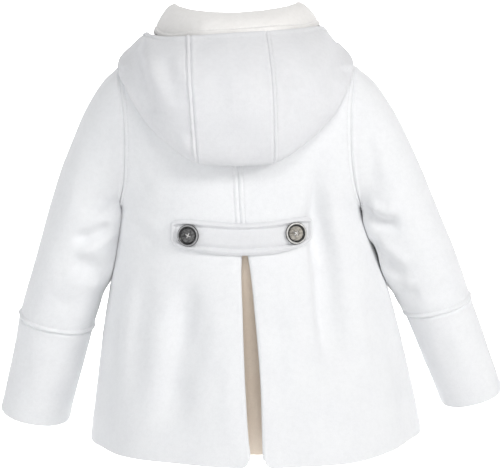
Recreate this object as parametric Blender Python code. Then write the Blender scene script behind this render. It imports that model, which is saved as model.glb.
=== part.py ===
"""A child's hooded coat, filled out as when it is worn, with nobody in it.

The front faces -Y and the wearer's left is +X. The origin is the middle of the neck opening, level with
the tops of the shoulder seams. Sizes in this file are in millimetres and the meshes are made in metres.

The torso is a stack of rounded sections. Every panel is a piece of that surface, cut at its seams and given
the thickness of the cloth, and what lies on a panel is made from the panel's own points, moved out.
"""

import bisect
import functools
import math

import bpy
import numpy as np
from mathutils import Matrix, Vector

MM = 0.001

# Cloth and seams
CLOTH = 2.0
COLLAR_CLOTH = 2.8
BELT_CLOTH = 3.4
SEAM_GAP = 0.3

# Main heights below the shoulder tops
HEM = -455.0
RIGHT_HEM_LIFT = 9.0
ARMPIT = -191.0
SHOULDER_POINT = -32.0
NECK_SIDE = -6.0
NAPE = -3.0
FRONT_NECK = -54.0

# Neck opening at the shoulder seams
NECK_HALF_WIDTH = 64.0

# Torso sections: the middle moves towards the wearer's right as the skirt swings
TORSO_COLUMNS = ("height", "middle", "half_width", "back", "front", "square")
TORSO = (
    (-455.0, -21.5, 189.5, 150.0, 136.0, 2.15),
    (-385.0, -19.0, 178.0, 136.0, 126.0, 2.18),
    (-329.0, -16.0, 168.0, 124.0, 116.0, 2.22),
    (-286.0, -13.5, 158.5, 115.0, 110.0, 2.25),
    (-246.0, -10.0, 148.0, 108.0, 104.0, 2.25),
    (-191.0, -4.0, 136.5, 101.0, 97.0, 2.25),
    (-150.0, -2.0, 136.0, 99.0, 92.0, 2.25),
    (-110.0, -1.0, 134.0, 95.0, 84.0, 2.25),
    (-70.0, 0.0, 132.0, 86.0, 74.0, 2.2),
    (-32.0, 0.0, 130.0, 71.0, 64.0, 2.15),
    (-6.0, 0.0, 64.0, 58.0, 58.0, 2.05),
    (4.0, 0.0, 52.0, 50.0, 50.0, 2.0),
)

# Armholes: how far out the seam lies from the middle line
ARMHOLE_COLUMNS = ("height", "left", "right")
ARMHOLE = (
    (-191.0, 136.5, 136.5),
    (-161.0, 128.0, 129.0),
    (-120.0, 124.5, 125.0),
    (-77.0, 125.0, 126.0),
    (-32.0, 130.5, 131.5),
)
ARMHOLE_BACK = 58.0
ARMHOLE_FRONT = 52.0
ARMHOLE_SQUARE = 2.4

# Soft folds of the skirt: place runs from 0 at the centre line to 1 at the side seam
FOLD_COLUMNS = ("side", "half", "place", "spread", "depth", "top", "bottom")
FOLDS = (
    (1, "back", 0.30, 0.15, 6.0, -225.0, -470.0),
    (1, "back", 0.74, 0.10, 3.5, -260.0, -470.0),
    (-1, "back", 0.42, 0.10, 8.0, -150.0, -400.0),
    (-1, "back", 0.16, 0.07, 2.5, -250.0, -470.0),
    (-1, "back", 0.74, 0.10, 4.0, -240.0, -470.0),
    (1, "front", 0.45, 0.14, 6.0, -215.0, -470.0),
    (-1, "front", 0.45, 0.14, 6.0, -215.0, -470.0),
)

# Inverted pleat: where the two folds lie, and how deep the cloth goes behind them
PLEAT_TOP = -214.0
PLEAT_COLUMNS = ("height", "left_fold", "right_fold", "depth")
PLEAT = (
    (-455.0, -16.0, -28.5, 60.0),
    (-435.0, -14.0, -28.0, 55.0),
    (-367.0, -9.5, -26.0, 41.0),
    (-300.0, -7.0, -20.5, 27.0),
    (-232.0, -6.0, -12.5, 11.0),
    (-214.0, -7.6, -8.8, 7.0),
)
PLEAT_ROLL = 3.2
PLEAT_REACH = 40.0
UNDERLAY_HEM = -452.5

# Front closing: the wearer's right front laps over the left one
LAP = 22.0
LAP_BLEND = 0.16
FRONT_BUTTONS = 4
FRONT_BUTTON_TOP = -104.0
FRONT_BUTTON_STEP = 82.0

# Half belt over the top of the pleat
BELT_COLUMNS = ("across", "height")
BELT_LINE = ((70.0, -207.5), (30.0, -210.5), (-7.0, -212.5), (-45.0, -210.5), (-84.0, -205.0))
BELT_HALF_HEIGHT = 17.0
BELT_ROUND = 6.0
BELT_RISE = 0.5
BELT_BUTTONS = {"belt_button_left": (51.0, -209.0), "belt_button_right": (-63.0, -207.0)}

# Buttons, 38 ligne
BUTTON_RADIUS = 12.2
BUTTON_RIM = 4.0
BUTTON_DISH = 2.6
BUTTON_HOLE_RADIUS = 1.0
BUTTON_HOLE_OUT = 2.6

# Sleeve rings from the armhole to the forearm seam: outer and inner edge as seen from behind
SLEEVE_COLUMNS = ("outer_x", "outer_z", "inner_x", "inner_z", "half_depth", "forward", "lean")
LEFT_SLEEVE = (
    (145.0, -43.5, 133.9, -193.4, 57.0, 0.0, 0.0),
    (155.0, -56.0, 134.4, -196.0, 56.0, 0.0, 0.0),
    (170.5, -82.0, 135.0, -200.0, 54.0, 0.0, 0.0),
    (184.0, -113.0, 135.7, -206.5, 52.0, 0.0, 0.0),
    (198.5, -149.0, 136.5, -217.0, 50.0, 1.0, 0.0),
    (211.5, -189.0, 138.2, -231.0, 48.0, 2.0, 0.0),
    (223.0, -229.0, 141.6, -252.0, 46.5, 4.0, 2.0),
    (234.0, -266.0, 150.0, -285.0, 45.5, 6.0, 5.0),
    (244.5, -301.0, 161.0, -320.0, 44.0, 9.0, 8.0),
    (249.0, -317.0, 165.0, -332.0, 43.5, 11.0, 9.0),
)
LEFT_CUFF = (
    (249.0, -317.0, 165.0, -332.0, 43.5, 11.0, 9.0),
    (256.5, -355.0, 174.5, -369.0, 42.5, 16.0, 10.0),
    (265.0, -391.0, 184.5, -404.0, 41.0, 21.0, 11.0),
    (273.5, -427.0, 194.0, -440.0, 40.0, 26.0, 11.0),
)
RIGHT_SLEEVE = (
    (147.0, -43.0, 141.6, -193.2, 57.0, 0.0, 0.0),
    (159.0, -56.0, 142.6, -196.0, 56.0, 0.0, 0.0),
    (177.0, -83.0, 144.2, -200.0, 54.0, 0.0, 0.0),
    (192.0, -112.0, 146.4, -207.0, 52.0, 0.0, 0.0),
    (209.0, -149.0, 149.6, -219.0, 50.0, 1.0, 0.0),
    (225.5, -189.0, 154.4, -235.0, 48.0, 2.0, 0.0),
    (241.5, -226.0, 162.0, -256.0, 45.5, 4.0, 2.0),
    (254.5, -259.0, 173.5, -283.0, 43.5, 6.0, 4.0),
    (262.5, -283.0, 184.5, -304.0, 42.0, 8.0, 6.0),
    (267.0, -296.0, 192.0, -315.0, 41.0, 9.0, 7.0),
)
RIGHT_CUFF = (
    (267.0, -296.0, 192.0, -315.0, 41.0, 9.0, 7.0),
    (280.0, -331.0, 205.5, -348.0, 40.0, 13.0, 8.0),
    (292.5, -366.0, 220.0, -383.0, 38.5, 17.0, 9.0),
    (305.5, -403.0, 235.5, -420.0, 37.5, 21.0, 9.0),
)

# Collar, from the centre back round to the front end: its roll line and its outer edge
COLLAR_COLUMNS = (
    "angle", "roll_x", "roll_y", "roll_z", "edge_x", "edge_y", "edge_z", "left_rise", "right_rise",
)
COLLAR = (
    (0.0, 0.0, 54.0, 31.0, 0.0, 80.0, 13.0, -1.8, -1.8),
    (25.0, 27.0, 50.0, 32.0, 36.0, 75.0, 11.5, -2.5, 2.2),
    (50.0, 49.0, 36.0, 34.0, 67.0, 51.0, 9.5, -3.2, 5.0),
    (75.0, 64.0, 16.0, 36.5, 86.0, 25.0, 10.0, -1.5, 6.0),
    (92.0, 68.5, 2.0, 37.5, 92.5, 5.0, 10.5, 0.0, 6.0),
    (115.0, 63.0, -32.0, 21.0, 87.0, -48.0, -18.0, 0.0, 2.0),
    (140.0, 46.5, -57.0, -15.0, 67.0, -74.0, -60.0, 0.0, 0.0),
    (158.0, 27.5, -67.0, -34.0, 46.0, -83.0, -84.0, 0.0, 0.0),
    (170.0, 14.5, -71.0, -42.0, 33.0, -86.0, -94.0, 0.0, 0.0),
)
COLLAR_ROLL_RISE = 0.3
COLLAR_LIFT = 4.2
COLLAR_RISE = 1.0
COLLAR_LIE_FROM = 122.0

# Hood, laid down on the back: its face edge, the middle of its outside, and the fold that it hangs by
HOOD_COLUMNS = (
    "angle", "face_x", "face_y", "face_z", "crown_x", "crown_y", "crown_z", "fold_x", "fold_y", "fold_z",
    "left_rise", "right_rise",
)
HOOD = (
    (0.0, 0.0, 84.5, 9.5, 0.0, 131.0, -55.0, 0.0, 119.0, -130.0, 0.0, 0.0),
    (22.0, 41.0, 77.0, 8.0, 43.0, 128.0, -57.0, 39.0, 115.0, -127.0, -1.8, 3.5),
    (45.0, 74.0, 56.0, 6.5, 82.0, 107.0, -44.0, 68.0, 104.0, -111.0, -3.2, 6.5),
    (62.0, 91.0, 36.0, 6.5, 102.0, 79.0, -31.0, 95.0, 85.0, -88.0, -2.0, 7.5),
    (78.0, 99.0, 17.0, 6.5, 112.0, 47.0, -18.0, 120.0, 62.0, -52.0, 0.0, 6.0),
    (86.0, 101.5, 7.0, 6.0, 116.0, 25.0, -10.0, 129.0, 40.0, -35.0, 0.0, 3.5),
    (94.0, 101.0, -4.0, 3.5, 114.0, 1.0, -5.0, 124.0, 7.0, -18.0, 0.0, 1.0),
    (104.0, 97.0, -18.0, -2.5, 104.0, -18.5, -5.5, 109.0, -19.0, -11.0, 0.0, 0.0),
)
HOOD_SEAM_ANGLE = 22.0
HOOD_SEAM_GAP = 0.28
HOOD_FACE_DRIFT = 10.0
HOOD_LIE = 2.2
HOOD_ROOM = 8.8
HOOD_NECK_OUT = 5.0
HOOD_NECK_UP = 3.2

# Mesh density: rows by columns of each panel
SKIRT_ROWS = 11
ARMHOLE_TURNS = (180, 165, 150, 135, 118, 100, 82, 64, 48, 33, 18)
SHOULDER_ROWS = 4
BACK_COLUMNS = 13
FRONT_COLUMNS = 13
SLEEVE_GRID = (17, 22)
CUFF_GRID = (5, 22)
COLLAR_GRID = (33, 10)
HOOD_GRID = (13, 18)
HOOD_CENTRE_ROWS = 7
BELT_GRID = (20, 6)
UNDERLAY_GRID = (10, 6)
FOLD_STEPS = 4
RETURN_STEPS = 2
BUTTON_SIDES = 18

CLOTH_COLOUR = (0.90, 0.90, 0.90)
CREAM_COLOUR = (0.90, 0.88, 0.83)
UNDERLAY_COLOUR = (0.83, 0.77, 0.67)
BUTTON_COLOUR = (0.30, 0.30, 0.29)


@functools.lru_cache(maxsize=None)
def knots(rows, columns, name):
    """A table's first column in order, with the values and the slopes of another column."""
    pairs = sorted((float(row[0]), float(row[columns.index(name)])) for row in rows)
    places, values = (list(part) for part in zip(*pairs))
    return places, values, [float(v) for v in np.gradient(values, places)]


def smooth(rows, columns, name, at):
    """A table's column at a value of its first column, on a smooth curve through its rows."""
    places, values, slopes = knots(rows, columns, name)
    at = min(max(float(at), places[0]), places[-1])
    i = min(max(bisect.bisect_left(places, at) - 1, 0), len(places) - 2)
    step = places[i + 1] - places[i]
    t = (at - places[i]) / step
    return (
        values[i] * (2 * t**3 - 3 * t**2 + 1)
        + slopes[i] * step * (t**3 - 2 * t**2 + t)
        + values[i + 1] * (3 * t**2 - 2 * t**3)
        + slopes[i + 1] * step * (t**3 - t**2)
    )


def ease(value, start, end):
    """0 before start, 1 after end, and smooth between them. start may be above end."""
    t = min(max((float(value) - start) / (end - start), 0.0), 1.0)
    return t * t * (3 - 2 * t)


def resample(points, count, trim_start=0.0, trim_end=0.0):
    """The same line with count points evenly spaced along it, with a little cut off its ends."""
    points = np.asarray(points, float)
    run = np.concatenate(([0.0], np.cumsum(np.linalg.norm(np.diff(points, axis=0), axis=1))))
    wanted = np.linspace(trim_start, run[-1] - trim_end, count)
    return np.stack([np.interp(wanted, run, points[:, k]) for k in range(3)], axis=1)


def curve_through(points, count):
    """A smooth line through a few points, with its points evenly spaced."""
    points = np.asarray(points, float)
    run = np.concatenate(([0.0], np.cumsum(np.linalg.norm(np.diff(points, axis=0), axis=1))))
    slopes = np.gradient(points, run, axis=0)
    fine = np.linspace(0.0, run[-1], 160)
    i = np.clip(np.searchsorted(run, fine) - 1, 0, len(run) - 2)
    step = (run[i + 1] - run[i])[:, None]
    t = (fine - run[i])[:, None] / step
    line = (
        points[i] * (2 * t**3 - 3 * t**2 + 1)
        + slopes[i] * step * (t**3 - 2 * t**2 + t)
        + points[i + 1] * (3 * t**2 - 2 * t**3)
        + slopes[i + 1] * step * (t**3 - t**2)
    )
    return resample(line, count)


@functools.lru_cache(maxsize=None)
def torso(name, height):
    """One column of the torso's table at a height."""
    return smooth(TORSO, TORSO_COLUMNS, name, height)


def armhole_out(side, height):
    """How far the armhole seam lies from the middle line."""
    name = "left" if side > 0 else "right"
    return smooth(ARMHOLE, ARMHOLE_COLUMNS, name, height)


def armhole_reach(half, height):
    """How far behind or in front of the shoulder line the armhole seam lies."""
    middle = (ARMPIT + SHOULDER_POINT) / 2
    share = min(1.0, abs(height - middle) / (SHOULDER_POINT - middle))
    deep = ARMHOLE_BACK if half == "back" else ARMHOLE_FRONT
    return deep * (1.0 - share**ARMHOLE_SQUARE) ** (1.0 / ARMHOLE_SQUARE)


@functools.lru_cache(maxsize=None)
def section(side, half, height):
    """The quarter of the torso's outline at a height: middle, half width, depth, squareness and end angle."""
    square, depth = torso("square", height), torso(half, height)
    width = torso("half_width", height)
    end = math.pi / 2
    if ARMPIT < height < SHOULDER_POINT:
        reach = min(armhole_reach(half, height) / depth, 0.95)
        out = armhole_out(side, height)
        width = out / (1.0 - reach**square) ** (1.0 / square)
        end = math.asin(min(1.0, (out / width) ** (square / 2)))
    elif SHOULDER_POINT <= height <= NECK_SIDE:
        share = (height - SHOULDER_POINT) / (NECK_SIDE - SHOULDER_POINT)
        width = armhole_out(side, SHOULDER_POINT) * (1 - share) + NECK_HALF_WIDTH * share
    return torso("middle", height), width, depth, square, end


def fold_depth(side, half, place, height):
    """How far the skirt's soft folds draw the cloth in at a place on a panel."""
    total = 0.0
    for row in FOLDS:
        fold = dict(zip(FOLD_COLUMNS, row))
        if fold["side"] != side or fold["half"] != half:
            continue
        across = math.exp(-(((place - fold["place"]) / fold["spread"]) ** 2))
        along = ease(height, fold["top"] + 10, fold["top"] - 90)
        along *= ease(height, fold["bottom"] - 10, fold["bottom"] + 70) if fold["bottom"] > HEM else 1.0
        total += fold["depth"] * across * along
    return total


def angle_of(side, half, height, out):
    """The section angle at which the outline lies that far from the middle line. Negative is past it."""
    _, width, _, square, _ = section(side, half, height)
    share = min(1.0, abs(out) / width)
    return math.copysign(math.asin(share ** (square / 2)), out)


def torso_point(side, half, height, angle):
    """A point of the torso's surface. Angle 0 is the centre line and a right angle is the side."""
    middle, width, depth, square, _ = section(side, half, height)
    sine, cosine = math.sin(angle), max(0.0, math.cos(angle))
    out = width * math.copysign(abs(sine) ** (2 / square), sine)
    deep = depth * cosine ** (2 / square)
    drawn = fold_depth(side, half, abs(angle) / (math.pi / 2), height)
    run = math.hypot(out, deep)
    scale = 1.0 - drawn / run
    sign = 1.0 if half == "back" else -1.0
    return np.array([middle + side * out * scale, sign * deep * scale, height])


def back_surface(x, height):
    """The point of the back's surface at a distance across and a height."""
    side = 1 if x >= torso("middle", height) else -1
    out = side * (x - torso("middle", height))
    return torso_point(side, "back", height, angle_of(side, "back", height, out))


def outward(surface, x, height):
    """The unit normal, pointing out, of a surface given as a function of x and height."""
    step = 0.6
    across = surface(x + step, height) - surface(x - step, height)
    up = surface(x, height + step) - surface(x, height - step)
    normal = np.cross(across, up)
    normal /= np.linalg.norm(normal)
    return normal if normal[1] * surface(x, height)[1] > 0 else -normal


def clearance(point):
    """Roughly how far a point lies outside the torso's surface, and the way out."""

    def level(p):
        side = 1 if p[0] >= torso("middle", p[2]) else -1
        half = "back" if p[1] >= 0 else "front"
        middle, width, depth, square, _ = section(side, half, p[2])
        return (abs(p[0] - middle) / width) ** square + (abs(p[1]) / depth) ** square

    step = 0.5
    here = level(point)
    slope = np.array([(level(point + step * e) - level(point - step * e)) / (2 * step) for e in np.eye(3)])
    size = np.linalg.norm(slope)
    return (here - 1.0) / size, slope / size


def lie_on_torso(point, height_above):
    """The point moved straight in or out until it lies that far above the torso's surface."""
    point = np.array(point, float)
    for _ in range(4):
        gap, way = clearance(point)
        point = point + way * (height_above - gap)
    return point


def keep_above_torso(point, height_above):
    """The point, moved out only if it lies closer than that to the torso's surface."""
    gap, _ = clearance(np.array(point, float))
    return np.array(point, float) if gap >= height_above else lie_on_torso(point, height_above)


def grid_normals(grid, ring=False):
    """Unit normals of a grid of points. A ring's columns close on themselves."""
    if ring:
        around = np.roll(grid, -1, axis=1) - np.roll(grid, 1, axis=1)
    else:
        around = np.gradient(grid, axis=1)
    along = np.gradient(grid, axis=0)
    normals = np.cross(around, along)
    return normals / np.linalg.norm(normals, axis=2, keepdims=True)


def flatten(normals, axis):
    """Normals with one axis taken out, so that a cut edge stays in the plane of its seam."""
    flat = normals.copy()
    flat[..., axis] = 0.0
    size = np.linalg.norm(flat, axis=-1, keepdims=True)
    return np.where(size > 0.3, flat / np.maximum(size, 1e-9), normals)


def solid_from(name, outer, inner, material, ring=False, cells=None):
    """One closed solid between two grids of points that match.

    cells tells which squares of the grid are cloth, and a ring's last column joins its first."""
    rows, columns = outer.shape[:2]
    wide = columns if ring else columns - 1
    cells = np.ones((rows - 1, wide), bool) if cells is None else cells
    index, points, faces = {}, [], []

    def corner(layer, i, j):
        key = (layer, i, j % columns)
        if key not in index:
            index[key] = len(points)
            points.append((outer, inner)[layer][i, j % columns] * MM)
        return index[key]

    edges = {}
    for i, j in zip(*np.nonzero(cells)):
        square = [(i, j), (i, j + 1), (i + 1, j + 1), (i + 1, j)]
        a, b, c, d = (outer[p[0], p[1] % columns] for p in square)
        cut = (0, 1, 2, 0, 2, 3) if np.linalg.norm(a - c) <= np.linalg.norm(b - d) else (1, 2, 3, 1, 3, 0)
        for layer in (0, 1):
            ends = [corner(layer, *square[k]) for k in cut]
            for one in (ends[:3], ends[3:]):
                faces.append(tuple(one if layer == 0 else one[::-1]))
        for start, end in zip(square, square[1:] + square[:1]):
            start, end = (start[0], start[1] % columns), (end[0], end[1] % columns)
            if edges.pop((end, start), None) is None:
                edges[(start, end)] = True
    for start, end in edges:
        a, b = corner(0, *start), corner(0, *end)
        c, d = corner(1, *end), corner(1, *start)
        faces += [(b, a, d), (b, d, c)]
    mesh = bpy.data.meshes.new(name)
    mesh.from_pydata([tuple(p) for p in points], [], faces)
    mesh.validate()
    volume = sum(Vector(points[a]).dot(Vector(points[b]).cross(Vector(points[c]))) for a, b, c in faces)
    if volume < 0:
        mesh.flip_normals()
    mesh.shade_smooth()
    mesh.set_sharp_from_angle(angle=math.radians(40))
    return add_object(name, mesh, material)


def add_object(name, mesh, material):
    """A named object with its own material."""
    colour, roughness, metallic = material
    finish = bpy.data.materials.new(name)
    finish.use_nodes = True
    shader = finish.node_tree.nodes["Principled BSDF"]
    shader.inputs["Base Color"].default_value = (*colour, 1.0)
    shader.inputs["Roughness"].default_value = roughness
    shader.inputs["Metallic"].default_value = metallic
    mesh.materials.clear()
    mesh.materials.append(finish)
    made = bpy.data.objects.new(name, mesh)
    bpy.context.scene.collection.objects.link(made)
    return made


def panel_heights(top, kept=()):
    """Row heights from the hem up, closest together where the armhole curves most."""
    skirt = np.linspace(HEM, ARMPIT, SKIRT_ROWS, endpoint=False)
    middle, tall = (ARMPIT + SHOULDER_POINT) / 2, (SHOULDER_POINT - ARMPIT) / 2
    yoke = [middle + tall * math.cos(math.radians(turn)) for turn in ARMHOLE_TURNS]
    shoulder = np.linspace(SHOULDER_POINT, top, SHOULDER_ROWS)
    heights = np.concatenate([skirt, yoke, shoulder])
    for value in kept:
        heights[np.argmin(np.abs(heights - value))] = value
    return heights


def seam_normals(grid, heights, facing):
    """A panel's normals, kept in the plane of the hem, and of the side and shoulder seams."""
    normals = grid_normals(grid) * facing
    normals[0] = flatten(normals[0], 2)
    seamed = (heights <= ARMPIT) | (heights >= SHOULDER_POINT)
    normals[seamed, 0] = flatten(normals[seamed, 0], 1)
    return normals


def hem_lift(point):
    """The hem rises a little at the wearer's right, where the skirt swings out."""
    share = ease(point[2], -330.0, HEM) * ease(point[0], -120.0, -212.0)
    return point + np.array([0.0, 0.0, RIGHT_HEM_LIFT * share])


def back_rows(side):
    """Grid of a back panel's outside, from its side edge to its pleat fold, and how far the fold reaches."""
    heights = panel_heights(NECK_SIDE, kept=(PLEAT_TOP,))
    fold_name = "left_fold" if side > 0 else "right_fold"
    grid, returns = [], []
    for i, height in enumerate(heights):
        middle, _, _, _, end = section(side, "back", height)
        top = i == len(heights) - 1
        pleated = height <= PLEAT_TOP
        if pleated:
            edge = smooth(PLEAT, PLEAT_COLUMNS, fold_name, height)
            start = side * (edge - middle) + PLEAT_ROLL
        else:
            start = SEAM_GAP / 2
        angles = np.linspace(end, angle_of(side, "back", height, start), 120)
        if top:
            rise = [height + (NAPE - NECK_SIDE) * math.cos(a) ** 2 for a in angles]
        else:
            rise = [height] * len(angles)
        line = [torso_point(side, "back", h, a) for h, a in zip(rise, angles)]
        line = resample(line, BACK_COLUMNS, trim_start=SEAM_GAP / 2)
        grid.append([hem_lift(p) for p in line])
        returns.append(pleat_return(side, line[-1], height))
    return np.array(grid), np.array(returns), heights


def pleat_return(side, edge, height):
    """The fold and the hidden return of a back panel at one height, past the panel's last point."""
    depth = smooth(PLEAT, PLEAT_COLUMNS, "depth", height)
    roll = PLEAT_ROLL
    inner = np.array([edge[0] + side * (PLEAT_REACH - roll), edge[1] - max(depth, 2 * roll), edge[2]])
    fall = math.atan2(max(depth, 2 * roll) - 2 * roll, PLEAT_REACH - 2 * roll)
    turns = np.linspace(0.0, math.pi - fall, FOLD_STEPS + 1)[1:]
    arc = [edge + np.array([-side * roll * math.sin(t), roll * (math.cos(t) - 1.0), 0.0]) for t in turns]
    steps = np.linspace(0.0, 1.0, RETURN_STEPS + 1)[1:, None]
    straight = arc[-1] * (1 - steps) + inner * steps
    for point in straight:
        point[1] = min(point[1], back_surface(point[0], height)[1] - 2 * CLOTH - 0.6)
    return np.concatenate([arc, straight])


def make_back(side):
    """One back, with its half of the pleat folded under below the belt."""
    name = "back_left" if side > 0 else "back_right"
    flat, returns, heights = back_rows(side)
    grid = np.concatenate([flat, returns], axis=1)
    columns = flat.shape[1]
    normals = seam_normals(grid, heights, side)
    above = heights > PLEAT_TOP
    normals[above, :columns] = seam_normals(flat, heights, side)[above]
    normals[above, columns - 1] = flatten(normals[above, columns - 1], 0)
    cells = np.ones((len(heights) - 1, grid.shape[1] - 1), bool)
    cells[heights[:-1] >= PLEAT_TOP, columns - 1:] = False
    return solid_from(name, grid, grid - normals * CLOTH, fabric(CLOTH_COLOUR), cells=cells)


def make_underlay():
    """The strip behind the pleat, just behind the ends of both returns."""
    rows, columns = UNDERLAY_GRID
    heights = np.linspace(UNDERLAY_HEM, PLEAT_TOP - 1.0, rows)
    grid = []
    for height in heights:
        corners = []
        for side in (1, -1):
            fold_name = "left_fold" if side > 0 else "right_fold"
            edge = smooth(PLEAT, PLEAT_COLUMNS, fold_name, height) + side * PLEAT_ROLL
            start = torso_point(side, "back", height, angle_of(
                side, "back", height, side * (edge - torso("middle", height))))
            corners.append(pleat_return(side, start, height)[-1])
        left, right = corners
        reach = np.array([3.0, 0.0, 0.0])
        behind = np.array([0.0, -SEAM_GAP - 0.2, 0.0])
        share = np.linspace(0.0, 1.0, columns)[:, None]
        line = (left + reach) * (1 - share) + (right - reach) * share + behind
        line[:, 1] -= 1.5 * np.sin(share[:, 0] * math.pi)
        grid.append(line)
    grid = np.array(grid)
    inner = grid - np.array([0.0, CLOTH, 0.0])
    return solid_from("pleat_underlay", grid, inner, fabric(UNDERLAY_COLOUR))


def neckline(side, share):
    """Front neckline from the shoulder seam (0) to the centre front (1): distance out and height."""
    turn = share * math.pi / 2
    out = NECK_HALF_WIDTH * math.cos(turn) ** 0.9
    height = NECK_SIDE + (FRONT_NECK - NECK_SIDE) * math.sin(turn) ** 1.25
    return out, height


def make_front(side):
    """One plain front. The wearer's right front laps over the left one at the centre."""
    name = "front_left" if side > 0 else "front_right"
    heights = panel_heights(NECK_SIDE)
    grid = []
    for height in heights:
        rise = ease(height, ARMPIT, NECK_SIDE) ** 3
        lift = (height - ARMPIT) / (NECK_SIDE - ARMPIT)
        line = []
        for share in np.linspace(0.0, 1.0, 90):
            neck_share = min(1.0, share * 1.15)
            out_top, top = neckline(side, neck_share)
            z = height if height <= ARMPIT else ARMPIT + (top - ARMPIT) * lift
            end = section(side, "front", z)[4]
            lap = angle_of(side, "front", z, -LAP)
            plain = (end + (lap - end) * share) / end
            top_angle = angle_of(side, "front", top, out_top) / section(side, "front", top)[4]
            if share * 1.15 > 1.0:
                past = (share * 1.15 - 1.0) / 0.15
                top_angle = angle_of(side, "front", top, -LAP * past) / section(side, "front", top)[4]
            angle = end * (plain * (1 - rise) + top_angle * rise)
            point = torso_point(side, "front", z, angle)
            if side < 0:
                point = lap_out(point, z, angle / end)
            line.append(point)
        line = resample(line, FRONT_COLUMNS, trim_start=SEAM_GAP / 2)
        grid.append([hem_lift(p) for p in line])
    grid = np.array(grid)
    normals = seam_normals(grid, heights, -side)
    return solid_from(name, grid, grid - normals * CLOTH, fabric(CLOTH_COLOUR))


def lap_out(point, height, place):
    """Moves the upper front out over the lower one near the centre."""
    over = CLOTH + SEAM_GAP + 0.3
    share = ease(place, 0.16 + LAP_BLEND * 2, 0.16)
    way = np.array([point[0] - torso("middle", height), point[1], 0.0])
    return point + way / np.linalg.norm(way) * over * share


def ring_points(row, side, count, square=2.15):
    """One sleeve ring, a rounded oval in its own plane, from its outer edge round the back."""
    ring = dict(zip(SLEEVE_COLUMNS, row))
    outer = np.array([side * ring["outer_x"], -ring["forward"], ring["outer_z"]])
    inner = np.array([side * ring["inner_x"], -ring["forward"], ring["inner_z"]])
    lean = math.radians(ring["lean"])
    deep = np.array([0.0, math.cos(lean), -math.sin(lean)]) * ring["half_depth"]
    half = (outer - inner) / 2
    turns = np.linspace(0.0, 2 * math.pi, count, endpoint=False)
    c = np.sign(np.cos(turns)) * np.abs(np.cos(turns)) ** (2 / square)
    s = np.sign(np.sin(turns)) * np.abs(np.sin(turns)) ** (2 / square)
    return (outer + inner) / 2 + np.outer(c, half) + np.outer(s, deep)


def armhole_ring(side, count):
    """The sleeve's first ring, on the armhole seam and clear of the torso's panels by the seam gap."""
    middle, tall = (ARMPIT + SHOULDER_POINT) / 2, (SHOULDER_POINT - ARMPIT) / 2
    points = []
    for turn in np.linspace(0.0, 2 * math.pi, count, endpoint=False):
        height = middle + tall * math.cos(turn)
        half = "back" if math.sin(turn) >= 0 else "front"
        reach = armhole_reach(half, height) * (1 if half == "back" else -1)
        out = armhole_out(side, height) + SEAM_GAP
        points.append((torso("middle", height) + side * out, reach, height))
    return np.array(points)


def ring_inward(grid):
    """Unit vectors from each ring's points towards its inside, in the ring's own plane."""
    along = np.roll(grid, -1, axis=1) - np.roll(grid, 1, axis=1)
    centre = grid.mean(axis=1, keepdims=True)
    plane = np.cross(grid - centre, along).mean(axis=1, keepdims=True)
    plane /= np.linalg.norm(plane, axis=2, keepdims=True)
    inward = np.cross(plane, along)
    inward /= np.linalg.norm(inward, axis=2, keepdims=True)
    return inward


def smooth_rings(table, count, first=0.0):
    """Rows of a ring table on smooth curves, evenly spread from its first row to its last."""
    names = ("index",) + SLEEVE_COLUMNS
    indexed = tuple((float(i),) + row for i, row in enumerate(table))
    places = np.linspace(first, len(table) - 1, count)
    return [tuple(smooth(indexed, names, name, at) for name in SLEEVE_COLUMNS) for at in places]


def make_sleeve(side):
    """One sleeve tube, from the armhole to the forearm seam."""
    name, table = ("sleeve_left", LEFT_SLEEVE) if side > 0 else ("sleeve_right", RIGHT_SLEEVE)
    rows, count = SLEEVE_GRID
    first = armhole_ring(side, count)
    grid = [first]
    start = first[0], first[count // 2]
    base = (side * start[0][0], start[0][2], side * start[1][0], start[1][2],
            (ARMHOLE_BACK + ARMHOLE_FRONT) / 2, -(ARMHOLE_BACK - ARMHOLE_FRONT) / 2, 0.0)
    carried = first - ring_points(base, side, count)
    for i, row in enumerate(smooth_rings(table, rows - 1), start=1):
        share = max(0.0, 1.0 - i / 7)
        grid.append(ring_points(row, side, count) + carried * share**1.5)
    grid = np.array(grid)
    inner = grid + ring_inward(grid) * CLOTH
    return solid_from(name, grid, inner, fabric(CLOTH_COLOUR), ring=True)


def make_cuff(side):
    """One deep cuff panel, from the forearm seam to the end of the sleeve."""
    name, table = ("cuff_left", LEFT_CUFF) if side > 0 else ("cuff_right", RIGHT_CUFF)
    rows, count = CUFF_GRID
    long = np.linalg.norm(np.array(table[0][:2]) - np.array(table[1][:2]))
    grid = np.array([
        ring_points(row, side, count) for row in smooth_rings(table, rows, first=SEAM_GAP * 1.4 / long)
    ])
    inner = grid + ring_inward(grid) * CLOTH
    return solid_from(name, grid, inner, fabric(CLOTH_COLOUR), ring=True)


def neck_point(side, angle):
    """The neckline at an angle round the neck, 0 at the nape and 180 at the centre front, in degrees."""
    if angle <= 90.0:
        turn = math.radians(angle)
        height = NECK_SIDE + (NAPE - NECK_SIDE) * math.cos(turn) ** 2
        return torso_point(side, "back", height, turn)
    out, height = neckline(side, (angle - 90.0) / 90.0)
    return torso_point(side, "front", height, angle_of(side, "front", height, out))


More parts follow.
